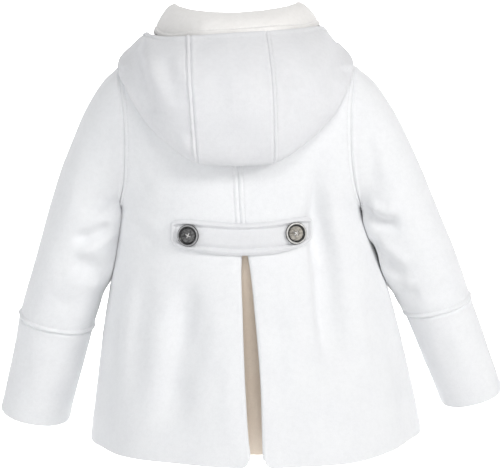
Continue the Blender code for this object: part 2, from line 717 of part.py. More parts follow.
def collar_section(side, angle, columns):
    """The collar at one angle, up its stand, over the roll and down its fall."""
    at = {n: smooth(COLLAR, COLLAR_COLUMNS, n, angle) for n in COLLAR_COLUMNS}
    base = neck_point(side, angle)
    toward = -base * np.array([1.0, 1.0, 0.0]) / np.linalg.norm(base[:2])
    base = base + toward * COLLAR_CLOTH + np.array([0.0, 0.0, COLLAR_RISE])
    rise = at["left_rise"] if side > 0 else at["right_rise"]
    roll = np.array([side * at["roll_x"], at["roll_y"], at["roll_z"] + rise * COLLAR_ROLL_RISE])
    edge = np.array([side * at["edge_x"], at["edge_y"], at["edge_z"] + rise])
    across = edge - roll
    out = across * np.array([1.0, 1.0, 0.0])
    out /= np.linalg.norm(out)
    stand_top = roll - out * 2.6 - np.array([0.0, 0.0, 5.5])
    fall_top = roll + out * 5.2 - np.array([0.0, 0.0, 1.8])
    bow = np.array([0.0, 0.0, 2.2]) + out * 1.2
    control = [base, (base + stand_top) / 2 - out * 0.6, stand_top, roll, fall_top,
               (fall_top + edge) / 2 + bow, edge]
    line = curve_through(control, columns)
    lie = ease(angle, COLLAR_LIE_FROM, COLLAR_LIE_FROM + 25.0)
    for j in range(columns // 2, columns):
        low = keep_above_torso(line[j], COLLAR_LIFT)
        line[j] = line[j] * (1 - lie) + low * lie
    return line


def make_collar():
    """The turn-down collar, from its left front end round the back to its right front end."""
    rows, columns = COLLAR_GRID
    last = COLLAR[-1][0]
    angles = np.linspace(-last, last, rows)
    grid = np.array([collar_section(-1 if a < 0 else 1, abs(a), columns) for a in angles])
    normals = grid_normals(grid)
    if normals[rows // 2, -2, 1] < 0:
        normals = -normals
    normals[:, 0] = flatten(normals[:, 0], 2)
    return solid_from("collar", grid, grid - normals * COLLAR_CLOTH, fabric(CREAM_COLOUR))


def hood_section(angle, columns):
    """The hood at one angle: from its face edge over the outside, round the fold and up to the neck."""
    side = -1 if angle < 0 else 1
    at = {n: smooth(HOOD, HOOD_COLUMNS, n, abs(angle)) for n in HOOD_COLUMNS}
    drift = HOOD_FACE_DRIFT * math.cos(math.radians(min(90.0, abs(angle)))) ** 1.5
    face = np.array([side * at["face_x"] + drift, at["face_y"], at["face_z"]])
    crown = np.array([side * at["crown_x"] + drift * 0.4, at["crown_y"], at["crown_z"]])
    fold = np.array([side * at["fold_x"], at["fold_y"], at["fold_z"]])
    neck = neck_point(side, abs(angle))
    away = neck * np.array([1.0, 1.0, 0.0]) / np.linalg.norm(neck[:2])
    neck = neck + away * HOOD_NECK_OUT
    neck = lie_on_torso(neck, HOOD_NECK_UP)
    under = [lie_on_torso(fold * (1 - s) + neck * s, HOOD_LIE + 0.6) for s in (0.14, 0.34, 0.6, 0.82)]
    line = curve_through([face, (face + crown) / 2 + (crown - fold) * 0.10, crown, fold, *under, neck], columns)
    rise = at["left_rise"] if side > 0 else at["right_rise"]
    crest = int(np.argmin(np.linalg.norm(line - crown, axis=1)))
    for j in range(crest):
        line[j, 2] += rise * (1.0 - j / crest)
    turn = int(np.argmin(np.linalg.norm(line - fold, axis=1)))
    room = [HOOD_ROOM] * turn + [HOOD_ROOM * 0.6] + [HOOD_LIE] * (columns - turn - 1)
    return np.array([keep_above_torso(p, r) for p, r in zip(line, room)])


def hood_normals(angle, line):
    """Unit normals, pointing to the hood's outside, of its section at an angle."""
    step = 0.6
    around = hood_section(angle + step, len(line)) - hood_section(angle - step, len(line))
    normals = np.cross(np.gradient(line, axis=0), around)
    return normals / np.linalg.norm(normals, axis=1, keepdims=True)


def make_hood():
    """The hood's centre strip and its two sides."""
    rows, columns = HOOD_GRID
    last = HOOD[-1][0]
    gap = HOOD_SEAM_GAP / 2
    parts = (
        ("hood_right", -last, -HOOD_SEAM_ANGLE - gap, rows),
        ("hood_centre", -HOOD_SEAM_ANGLE + gap, HOOD_SEAM_ANGLE - gap, HOOD_CENTRE_ROWS),
        ("hood_left", HOOD_SEAM_ANGLE + gap, last, rows),
    )
    for name, start, end, count in parts:
        angles = np.linspace(start, end, count)
        grid = np.array([hood_section(a, columns) for a in angles])
        normals = np.array([hood_normals(a, line) for a, line in zip(angles, grid)])
        if normals[count // 2, 3] @ grid[count // 2, 3] < 0:
            normals = -normals
        solid_from(name, grid, grid - normals * CLOTH, fabric(CLOTH_COLOUR))


def belt_point(along, across, height_above):
    """A point of the half belt: along and across run from -1 to 1, and it lies that far off the back."""
    left, right = BELT_LINE[0][0], BELT_LINE[-1][0]
    x = (left + right) / 2 + along * (left - right) / 2
    middle = smooth(BELT_LINE, BELT_COLUMNS, "height", x)
    tall = BELT_HALF_HEIGHT * (1.0 - abs(along) ** BELT_ROUND) ** (1.0 / BELT_ROUND)
    z = middle + across * tall
    return back_surface(x, z) + outward(back_surface, x, z) * height_above


def make_belt():
    """The half belt, a flat padded strap with rounded ends."""
    rows, columns = BELT_GRID
    along = 0.996 * np.sin(np.linspace(-math.pi / 2, math.pi / 2, rows))
    across = np.sin(np.linspace(-math.pi / 2, math.pi / 2, columns))
    outer, inner = [], []
    for a in along:
        edge = [max(abs(a) ** 12, abs(c) ** 4) for c in across]
        outer.append([belt_point(a, c, BELT_RISE + BELT_CLOTH - 1.1 * e) for c, e in zip(across, edge)])
        inner.append([belt_point(a, c, BELT_RISE) for c in across])
    return solid_from("half_belt", np.array(outer), np.array(inner), fabric(CLOTH_COLOUR))


def button_mesh():
    """A four-hole button with a raised rim round a dished middle, its flat back at z = 0."""
    radius, rim, dish = BUTTON_RADIUS, BUTTON_RIM, BUTTON_DISH
    profile = (
        (0.0, dish), (radius * 0.62, dish), (radius * 0.74, rim - 0.3), (radius * 0.86, rim),
        (radius * 0.97, rim - 0.7), (radius, rim - 1.8), (radius * 0.90, 0.0), (0.0, 0.0),
    )
    count = BUTTON_SIDES
    points, faces = [], []
    for r, z in profile[1:-1]:
        for k in range(count):
            turn = 2 * math.pi * k / count
            points.append((r * math.cos(turn) * MM, r * math.sin(turn) * MM, z * MM))
    top, bottom = len(points), len(points) + 1
    points += [(0.0, 0.0, profile[0][1] * MM), (0.0, 0.0, 0.0)]
    rings = len(profile) - 2
    for k in range(count):
        n = (k + 1) % count
        faces.append((top, k, n))
        for i in range(rings - 1):
            a, b = i * count, (i + 1) * count
            faces.append((a + k, b + k, b + n, a + n))
        last = (rings - 1) * count
        faces.append((bottom, last + n, last + k))
    mesh = bpy.data.meshes.new("button_blank")
    mesh.from_pydata(points, [], faces)
    blank = bpy.data.objects.new("button_blank", mesh)
    bpy.context.scene.collection.objects.link(blank)
    drills = []
    for k in range(4):
        turn = math.pi / 4 + k * math.pi / 2
        bpy.ops.mesh.primitive_cylinder_add(
            vertices=6, radius=BUTTON_HOLE_RADIUS * MM, depth=4 * rim * MM,
            location=(BUTTON_HOLE_OUT * math.cos(turn) * MM, BUTTON_HOLE_OUT * math.sin(turn) * MM, 0.0),
        )
        drill = bpy.context.object
        cut = blank.modifiers.new("hole", "BOOLEAN")
        cut.object = drill
        cut.operation = "DIFFERENCE"
        cut.solver = "EXACT"
        drills.append(drill)
    graph = bpy.context.evaluated_depsgraph_get()
    finished = bpy.data.meshes.new_from_object(blank.evaluated_get(graph))
    for spare in [blank, *drills]:
        bpy.data.objects.remove(spare)
    finished.shade_smooth()
    finished.set_sharp_from_angle(angle=math.radians(30))
    return finished


def place_button(name, mesh, point, normal):
    """A button with its back towards the cloth and its face along the normal."""
    made = add_object(name, mesh.copy(), (BUTTON_COLOUR, 0.35, 0.2))
    turn = Vector(normal).to_track_quat("Z", "Y").to_matrix().to_4x4()
    made.matrix_world = Matrix.Translation(Vector(point) * MM) @ turn
    return made


def make_buttons():
    """Two buttons on the half belt and a row down the front."""
    mesh = button_mesh()
    for name, (x, height) in BELT_BUTTONS.items():
        normal = outward(back_surface, x, height)
        above = BELT_RISE + BELT_CLOTH + SEAM_GAP
        place_button(name, mesh, back_surface(x, height) + normal * above, normal)
    for k in range(FRONT_BUTTONS):
        height = FRONT_BUTTON_TOP - FRONT_BUTTON_STEP * k
        base = torso_point(-1, "front", height, 0.0)
        above = CLOTH + 2 * SEAM_GAP + 0.9
        up = torso_point(-1, "front", height + 5, 0.0) - torso_point(-1, "front", height - 5, 0.0)
        normal = np.cross(np.array([1.0, 0.0, 0.0]), up)
        normal /= np.linalg.norm(normal)
        place_button(f"front_button_{k + 1}", mesh, base + normal * above, normal)


def fabric(colour):
    """Colour, roughness and metallic value of the wool cloth."""
    return colour, 0.9, 0.0


def main():
    """Builds the coat in the order in which it is sewn."""
    for spare in list(bpy.data.objects):
        bpy.data.objects.remove(spare)
    for side in (1, -1):
        make_back(side)
        make_front(side)
        make_sleeve(side)
        make_cuff(side)
    make_underlay()
    make_collar()
    make_hood()
    make_belt()
    make_buttons()


main()
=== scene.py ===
"""A child's hooded coat seen from behind, filled out as when it is worn, with nobody in it.

The front faces -Y and the wearer's left is +X. Tables are in millimetres and meshes are made in metres.
Each sheet of cloth is a thin shell on the form of its solid, with its seams, topstitching, turned edges and
the soft folds that the coat has when it hangs from the shoulders.
"""

from __future__ import annotations

import logging
import math
from dataclasses import dataclass, field
from enum import Enum
from functools import cached_property, lru_cache

import bpy
import numpy as np
from mathutils import Matrix, Vector

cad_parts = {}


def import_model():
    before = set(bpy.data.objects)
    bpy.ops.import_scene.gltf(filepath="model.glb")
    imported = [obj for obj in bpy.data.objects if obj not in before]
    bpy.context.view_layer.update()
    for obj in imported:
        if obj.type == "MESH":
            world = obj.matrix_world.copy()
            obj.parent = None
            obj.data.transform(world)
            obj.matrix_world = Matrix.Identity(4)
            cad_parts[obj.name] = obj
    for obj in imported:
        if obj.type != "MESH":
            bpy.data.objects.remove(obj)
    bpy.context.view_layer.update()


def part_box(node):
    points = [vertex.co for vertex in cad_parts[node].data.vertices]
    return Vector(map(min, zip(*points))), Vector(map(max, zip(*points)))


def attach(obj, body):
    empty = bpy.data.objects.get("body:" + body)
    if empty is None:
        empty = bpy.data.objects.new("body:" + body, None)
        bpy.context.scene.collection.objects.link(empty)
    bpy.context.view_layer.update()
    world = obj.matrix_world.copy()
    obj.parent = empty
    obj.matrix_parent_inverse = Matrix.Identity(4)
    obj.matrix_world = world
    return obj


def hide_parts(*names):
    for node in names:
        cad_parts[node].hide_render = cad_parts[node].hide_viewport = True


LOG = logging.getLogger("coat")
MM = 0.001
Grid = np.ndarray
Real = Grid | float
Material = bpy.types.Material
Thing = bpy.types.Object
Socket = bpy.types.NodeSocket
Triple = tuple[float, float, float]


class Side(Enum):
    """The wearer's side that a piece is on. Its value is the sign of X there."""

    LEFT = 1
    RIGHT = -1

    @property
    def word(self) -> str:
        """The side as it stands in the names of pieces."""
        return self.name.lower()

    @property
    def edges(self) -> tuple[Edge, Edge]:
        """A back panel's edges: the one at the arm and side, and the one at the centre. A front's are the other way."""
        pair = (Edge.FIRST_COLUMN, Edge.LAST_COLUMN)
        return pair if self is Side.LEFT else pair[::-1]


class Half(Enum):
    """The back or the front of the torso. Its value is the sign of Y there."""

    BACK = 1
    FRONT = -1


class Edge(Enum):
    """An edge of a grid of points."""

    FIRST_ROW = "first row"
    LAST_ROW = "last row"
    FIRST_COLUMN = "first column"
    LAST_COLUMN = "last column"


class Slot(Enum):
    """The record's material slots."""

    COAT = "coat_cloth"
    COLLAR = "collar_cloth"
    UNDERLAY = "underlay_cloth"
    BUTTON = "button"


def ease(value: Real, start: float, end: float) -> Grid:
    """Goes smoothly from 0 to 1."""
    t = np.clip((np.asarray(value, float) - start) / (end - start), 0, 1)
    return t * t * (3 - 2 * t)


def bump(value: Real, middle: float, spread: float) -> Grid:
    """A smooth hump."""
    return np.exp(-(((np.asarray(value, float) - middle) / spread) ** 2))


def waver(value: Grid, size: float, seed: int) -> Grid:
    """Uneven waves between about -1 and 1, the same on every run.

    Args:
        value: Places along a line, in the unit of size.
        size: The usual length of a wave.
        seed: Picks one of many such lines.

    Returns:
        The waves' height at each place.
    """
    rng = np.random.default_rng(seed)
    total = np.zeros_like(np.asarray(value, float))
    for share in (1, 0.61, 0.37, 1.83):
        total += share * np.sin(value / size / share * 2 * math.pi + rng.uniform(0, 2 * math.pi))
    return total / 2.4


def unit(vectors: Grid) -> Grid:
    """Vectors at length 1."""
    return vectors / np.maximum(np.linalg.norm(vectors, axis=-1, keepdims=True), 1e-12)


def run_of(points: Grid) -> Grid:
    """How far along a line each of its points lies."""
    return np.concatenate(([0.0], np.cumsum(np.linalg.norm(np.diff(points, axis=0), axis=1))))


def resample(points: Grid, wanted: Grid) -> Grid:
    """Points at given distances along a line."""
    run = run_of(points)
    return np.stack([np.interp(wanted, run, points[:, k]) for k in range(3)], axis=1)


def length_of(points: Grid) -> float:
    """The length of a line of points."""
    return float(np.linalg.norm(np.diff(points, axis=0), axis=1).sum())


def spread_out(length: float, count: int, fine_start: int, fine_end: int, step: float = 0.8) -> Grid:
    """Distances along a line that lie close together at its ends.

    Args:
        length: How long the line is.
        count: How many distances to give.
        fine_start: How many small steps to take at its start.
        fine_end: How many small steps to take at its end.
        step: The length of a small step.

    Returns:
        The distances, from 0 to length.
    """
    step = min(step, length / (count - 1))
    start = np.arange(fine_start) * step
    end = length - np.arange(fine_end)[::-1] * step
    middle = np.linspace(fine_start * step, length - fine_end * step, count - fine_start - fine_end)
    return np.concatenate([start, middle, end])


def between(t: Grid, step: Grid, ends: tuple[Grid, Grid], slopes: tuple[Grid, Grid]) -> Grid:
    """A smooth way from one knot to the next.

    Args:
        t: The share of the way.
        step: How far apart the knots lie.
        ends: The values at both knots.
        slopes: The slopes there.

    Returns:
        The values on the way.
    """
    value = ends[0] * (2 * t**3 - 3 * t**2 + 1) + slopes[0] * step * (t**3 - 2 * t**2 + t)
    return value + ends[1] * (3 * t**2 - 2 * t**3) + slopes[1] * step * (t**3 - t**2)


def through(points: list[Grid], count: int) -> Grid:
    """A smooth line through a few points, with its points evenly spaced.

    Args:
        points: The points that it passes.
        count: How many points to give.

    Returns:
        The line's points.
    """
    knots = np.asarray(points, float)
    run = run_of(knots)
    slopes = np.gradient(knots, run, axis=0)
    fine = np.linspace(0, run[-1], 300)
    i = np.clip(np.searchsorted(run, fine) - 1, 0, len(run) - 2)
    step = (run[i + 1] - run[i])[:, None]
    line = between((fine - run[i])[:, None] / step, step, (knots[i], knots[i + 1]), (slopes[i], slopes[i + 1]))
    return resample(line, np.linspace(0, length_of(line), count))


def smooth_rows(grid: Grid, times: int) -> Grid:
    """A grid with its inner rows drawn towards the middle of their neighbours.

    Args:
        grid: The grid of points.
        times: How often to do so.

    Returns:
        The smoother grid, with the same first and last row.
    """
    grid = grid.copy()
    for _ in range(times):
        grid[1:-1] = (grid[:-2] + 2 * grid[1:-1] + grid[2:]) / 4
    return grid


def show(name: str, mesh: bpy.types.Mesh, finish: Material | None = None) -> Thing:
    """Puts a mesh in the scene.

    Args:
        name: Its name.
        mesh: The mesh.
        finish: Its material.

    Returns:
        The object.
    """
    if finish:
        mesh.materials.clear()
        mesh.materials.append(finish)
    made = bpy.data.objects.new(name, mesh)
    bpy.context.scene.collection.objects.link(made)
    return made


def mesh_of(name: str, points: list, faces: list) -> bpy.types.Mesh:
    """Makes a smooth mesh of points in metres."""
    mesh = bpy.data.meshes.new(name)
    mesh.from_pydata(points, [], faces)
    mesh.shade_smooth()
    return mesh


@dataclass(frozen=True)
class Curve:
    """A smooth line through the rows of a small table."""

    places: tuple[float, ...]
    values: tuple[float, ...]

    @classmethod
    @lru_cache(maxsize=None)
    def of(cls, rows: tuple, key: str, name: str) -> Curve:
        """Takes one field of each row, in the order of another that says where the row lies."""
        pairs = sorted((float(getattr(row, key)), float(getattr(row, name))) for row in rows)
        return cls(*zip(*pairs))

    @cached_property
    def table(self) -> tuple[Grid, Grid, Grid]:
        """The places, the values and the slopes there."""
        x, y = np.array(self.places), np.array(self.values)
        return x, y, np.gradient(y, x)

    def __call__(self, at: Real) -> Grid:
        """The line's height.

        Args:
            at: One or many places.

        Returns:
            The value at each place.
        """
        x, y, slopes = self.table
        at = np.clip(np.asarray(at, float), x[0], x[-1])
        i = np.clip(np.searchsorted(x, at) - 1, 0, len(x) - 2)
        step = x[i + 1] - x[i]
        return between((at - x[i]) / step, step, (y[i], y[i + 1]), (slopes[i], slopes[i + 1]))


@dataclass(frozen=True)
class TorsoRow:
    """One rounded section of the torso."""

    height: float
    middle: float
    half_width: float
    back: float
    front: float
    square: float


@dataclass(frozen=True)
class ArmholeRow:
    """How far out the armhole seams lie at a height."""

    height: float
    left: float
    right: float


@dataclass(frozen=True)
class SkirtFold:
    """A broad fold of the skirt. place runs from 0 at the centre line to 1 at the side seam."""

    side: Side
    half: Half
    place: float
    spread: float
    depth: float
    top: float
    bottom: float


@dataclass(frozen=True)
class TorsoForm:
    """The filled-out surface that all the panels lie on."""

    hem: float = -455.0
    hem_lift: float = 9.0
    armpit: float = -191.0
    shoulder: float = -32.0
    neck_side: float = -6.0
    nape: float = -3.0
    front_neck: float = -54.0
    neck_half_width: float = 64.0
    armhole_back: float = 58.0
    armhole_front: float = 52.0
    armhole_square: float = 2.4
    rows: tuple[TorsoRow, ...] = (
        TorsoRow(-455, -21.5, 189.5, 150, 136, 2.15),
        TorsoRow(-385, -19, 178, 136, 126, 2.18),
        TorsoRow(-329, -16, 168, 124, 116, 2.22),
        TorsoRow(-286, -13.5, 158.5, 115, 110, 2.25),
        TorsoRow(-246, -10, 148, 108, 104, 2.25),
        TorsoRow(-191, -4, 136.5, 101, 97, 2.25),
        TorsoRow(-150, -2, 136, 99, 92, 2.25),
        TorsoRow(-110, -1, 134, 95, 84, 2.25),
        TorsoRow(-70, 0, 132, 86, 74, 2.2),
        TorsoRow(-32, 0, 130, 71, 64, 2.15),
        TorsoRow(-6, 0, 64, 58, 58, 2.05),
        TorsoRow(4, 0, 52, 50, 50, 2),
    )
    armholes: tuple[ArmholeRow, ...] = (
        ArmholeRow(-191, 136.5, 136.5),
        ArmholeRow(-161, 128, 129),
        ArmholeRow(-120, 124.5, 125),
        ArmholeRow(-77, 125, 126),
        ArmholeRow(-32, 130.5, 131.5),
    )
    folds: tuple[SkirtFold, ...] = (
        SkirtFold(Side.LEFT, Half.BACK, 0.30, 0.15, 6, -225, -470),
        SkirtFold(Side.LEFT, Half.BACK, 0.74, 0.10, 3.5, -260, -470),
        SkirtFold(Side.RIGHT, Half.BACK, 0.42, 0.10, 8, -150, -400),
        SkirtFold(Side.RIGHT, Half.BACK, 0.16, 0.07, 2.5, -250, -470),
        SkirtFold(Side.RIGHT, Half.BACK, 0.74, 0.10, 4, -240, -470),
        SkirtFold(Side.LEFT, Half.FRONT, 0.45, 0.14, 6, -215, -470),
        SkirtFold(Side.RIGHT, Half.FRONT, 0.45, 0.14, 6, -215, -470),
    )

    @cached_property
    def curves(self) -> dict[str, Curve]:
        """The tables' columns as smooth lines."""
        lines = {n: Curve.of(self.rows, "height", n) for n in ("middle", "half_width", "back", "front", "square")}
        lines |= {n: Curve.of(self.armholes, "height", n) for n in ("left", "right")}
        return lines

    def armhole_out(self, side: Grid | int, height: Real) -> Grid:
        """How far the armhole seam lies from the middle line."""
        return np.where(np.asarray(side) > 0, self.curves["left"](height), self.curves["right"](height))

    def armhole_reach(self, half: Grid | int, height: Real) -> Grid:
        """How far behind or in front of the shoulder line the armhole seam lies.

        Args:
            half: The sign of Y.
            height: Where to look.

        Returns:
            The distance.
        """
        middle = (self.armpit + self.shoulder) / 2
        share = np.clip(np.abs(np.asarray(height) - middle) / (self.shoulder - middle), 0, 1)
        deep = np.where(np.asarray(half) > 0, self.armhole_back, self.armhole_front)
        return deep * (1.0 - share**self.armhole_square) ** (1.0 / self.armhole_square)

    def section(self, side: Grid | int, half: Grid | int, height: Real) -> tuple[Grid, ...]:
        """A quarter of the torso's outline.

        Args:
            side: The sign of X.
            half: The sign of Y.
            height: Where to cut.

        Returns:
            Its middle, half width, depth, squareness, and the angle at which it ends.
        """
        curves, height = self.curves, np.asarray(height, float)
        middle, square = curves["middle"](height), curves["square"](height)
        depth = np.where(np.asarray(half) > 0, curves["back"](height), curves["front"](height))
        out = self.armhole_out(side, height)
        reach = np.minimum(self.armhole_reach(half, height) / depth, 0.95)
        virtual = out / (1.0 - reach**square) ** (1.0 / square)
        share = (height - self.shoulder) / (self.neck_side - self.shoulder)
        sloped = self.armhole_out(side, self.shoulder) * (1 - share) + self.neck_half_width * share
        in_arm = (height > self.armpit) & (height < self.shoulder)
        in_neck = (height >= self.shoulder) & (height <= self.neck_side)
        width = np.where(in_arm, virtual, np.where(in_neck, sloped, curves["half_width"](height)))
        end = np.where(in_arm, np.arcsin(np.clip(out / width, 0, 1) ** (square / 2)), math.pi / 2)
        return middle, width, depth, square, end

    def angle_of(self, side: int, half: int, height: Grid, out: Grid) -> Grid:
        """The angle at which the outline lies a distance from the middle line."""
        _, width, _, square, _ = self.section(side, half, height)
        return np.copysign(np.arcsin(np.minimum(1, np.abs(out) / width) ** (square / 2)), out)

    def drawn_in(self, side: int, half: int, place: Grid, height: Grid) -> Grid:
        """How far the skirt's broad folds draw the cloth in.

        Args:
            side: The sign of X.
            half: The sign of Y.
            place: 0 at the centre line and 1 at the side.
            height: Where to look.

        Returns:
            The distance.
        """
        total = np.zeros(np.broadcast(place, height).shape)
        for fold in self.folds:
            if fold.side.value != side or fold.half.value != half:
                continue
            along = ease(height, fold.top + 10, fold.top - 90)
            if fold.bottom > self.hem:
                along = along * ease(height, fold.bottom - 10, fold.bottom + 70)
            total = total + fold.depth * bump(place, fold.place, fold.spread) * along
        return total

    def point(self, side: int, half: int, height: Grid, angle: Grid) -> Grid:
        """Points of the surface. Angle 0 is the centre line and a right angle is the side.

        Args:
            side: The sign of X.
            half: The sign of Y.
            height: Their heights.
            angle: Their angles.

        Returns:
            The points.
        """
        height, angle = np.broadcast_arrays(np.asarray(height, float), np.asarray(angle, float))
        middle, width, depth, square, _ = self.section(side, half, height)
        sine, cosine = np.sin(angle), np.maximum(0, np.cos(angle))
        out = width * np.copysign(np.abs(sine) ** (2 / square), sine)
        deep = depth * cosine ** (2 / square)
        drawn = self.drawn_in(side, half, np.abs(angle) / (math.pi / 2), height)
        scale = 1.0 - drawn / np.hypot(out, deep)
        points = np.stack([middle + side * out * scale, half * deep * scale, height], axis=-1)
        share = ease(points[..., 2], -330, self.hem) * ease(points[..., 0], -120, -212)
        points[..., 2] += self.hem_lift * share
        return points

    def back_at(self, x: Grid, height: Grid) -> Grid:
        """Points of the back's surface.

        Args:
            x: How far across they lie.
            height: Their heights.

        Returns:
            The points.
        """
        x, height = np.broadcast_arrays(np.asarray(x, float), np.asarray(height, float))
        middle = self.curves["middle"](height)
        left = self.point(1, 1, height, self.angle_of(1, 1, height, x - middle))
        right = self.point(-1, 1, height, self.angle_of(-1, 1, height, middle - x))
        return np.where((x >= middle)[..., None], left, right)

    def back_normal(self, x: Grid, height: Grid) -> Grid:
        """The way out of the back's surface.

        Args:
            x: How far across to look.
            height: At which height.

        Returns:
            Unit vectors.
        """
        step = 0.6
        across = self.back_at(x + step, height) - self.back_at(x - step, height)
        up = self.back_at(x, height + step) - self.back_at(x, height - step)
        normals = unit(np.cross(across, up))
        return normals * np.where(normals[..., 1:2] < 0, -1, 1)

    def level(self, points: Grid) -> Grid:
        """How far out points lie, as 1 on the surface and less inside it.

        Args:
            points: The points.

        Returns:
            Their levels.
        """
        x, y, z = points[..., 0], points[..., 1], points[..., 2]
        side = np.where(x >= self.curves["middle"](z), 1, -1)
        middle, width, depth, square, _ = self.section(side, np.where(y >= 0, 1, -1), z)
        return (np.abs(x - middle) / width) ** square + (np.abs(y) / depth) ** square

    def above(self, points: Grid) -> tuple[Grid, Grid]:
        """Roughly how far points lie off the surface.

        Args:
            points: The points.

        Returns:
            Their distances and the way out at each.
        """
        steps = 0.5 * np.concatenate([np.eye(3), -np.eye(3), np.zeros((1, 3))])
        levels = self.level(points[..., None, :] + steps)
        slope = levels[..., :3] - levels[..., 3:6]
        size = np.linalg.norm(slope, axis=-1)
        return (levels[..., 6] - 1) / size, slope / size[..., None]

    def lie_on(self, points: Grid, height: Real) -> Grid:
        """Moves points straight in or out until they lie a distance off the surface.

        Args:
            points: The points.
            height: The distance.

        Returns:
            The moved points.
        """
        for _ in range(4):
            gap, way = self.above(points)
            points = points + way * (height - gap)[..., None]
        return points

    def keep_above(self, points: Grid, height: Real) -> Grid:
        """Moves out the points that lie closer than a distance to the surface."""
        gap, _ = self.above(points)
        return np.where((gap >= height)[..., None], points, self.lie_on(points, height))


@dataclass(frozen=True)
class Crease:
    """A soft trough or ridge that runs along a few points, as seen from behind."""

    path: tuple[tuple[float, float], ...]
    spread: float
    depth: float
    lip: float = 0.45
    skew: float = 1.0

    def relief(self, x: Grid, z: Grid) -> Grid:
        """How far it moves the cloth out.

        Args:
            x: How far across the cloth's points lie.
            z: Their heights.

        Returns:
            The distance, negative in a trough.
        """
        best = np.full(x.shape, 1e9)
        signed, along = np.zeros(x.shape), np.zeros(x.shape)
        points = np.asarray(self.path, float)
        steps = np.diff(points, axis=0)
        lengths = np.linalg.norm(steps, axis=1)
        total, before = lengths.sum(), 0.0
        for start, step, length in zip(points, steps, lengths):
            way = step / length
            run = (x - start[0]) * way[0] + (z - start[1]) * way[1]
            held = np.clip(run, 0, length)
            dx, dz = x - start[0] - held * way[0], z - start[1] - held * way[1]
            distance = np.hypot(dx, dz)
            closer = distance < best
            best = np.where(closer, distance, best)
            signed = np.where(closer, np.copysign(distance, dx * way[1] - dz * way[0]), signed)
            along = np.where(closer, (before + held) / total, along)
            before += length
        skew = 1 + (self.skew - 1) * ease(signed, -0.3 * self.spread, 0.6 * self.spread)
        spread = self.spread * (0.75 + 0.5 * along) * skew
        taper = ease(along, 0, 0.3) * ease(along, 1, 0.7)
        body = -np.exp(-((best / spread) ** 2)) + self.lip * np.exp(-(((signed - 1.7 * spread) / spread) ** 2))
        return self.depth * body * taper * (1 + 0.12 * waver(along, 0.4, len(self.path) + int(abs(points[0, 0]))))


@dataclass(frozen=True)
class Seam:
    """How the cloth lies beside a seam: a groove on it, a welt beside that, and topstitching."""

    groove: float = 0.4
    welt: float = 0.5
    stitch_at: float = 0.0
    dent: float = 0.5
    pucker: float = 0.16

    def relief(self, distance: Grid, along: Grid, seed: int) -> Grid:
        """How far it moves the cloth out.

        Args:
            distance: How far the points lie from the seam.
            along: Where they lie along it.
            seed: Picks the puckers.

        Returns:
            The distance, negative in a groove.
        """
        uneven = 1 + 0.3 * waver(along, 17, seed)
        wide = self.stitch_at if self.stitch_at else 6.0
        relief = -self.groove * bump(distance, 0, 1.1)
        relief += self.welt * uneven * bump(distance, wide * 0.52, wide * 0.34)
        if self.stitch_at:
            relief -= self.dent * bump(distance, self.stitch_at, 0.9)
            relief += self.pucker * waver(along, 8, seed + 1) * bump(distance, self.stitch_at + 2.5, 3.5)
        return relief


PLAIN_SEAM = Seam(groove=0.35, welt=0.35)


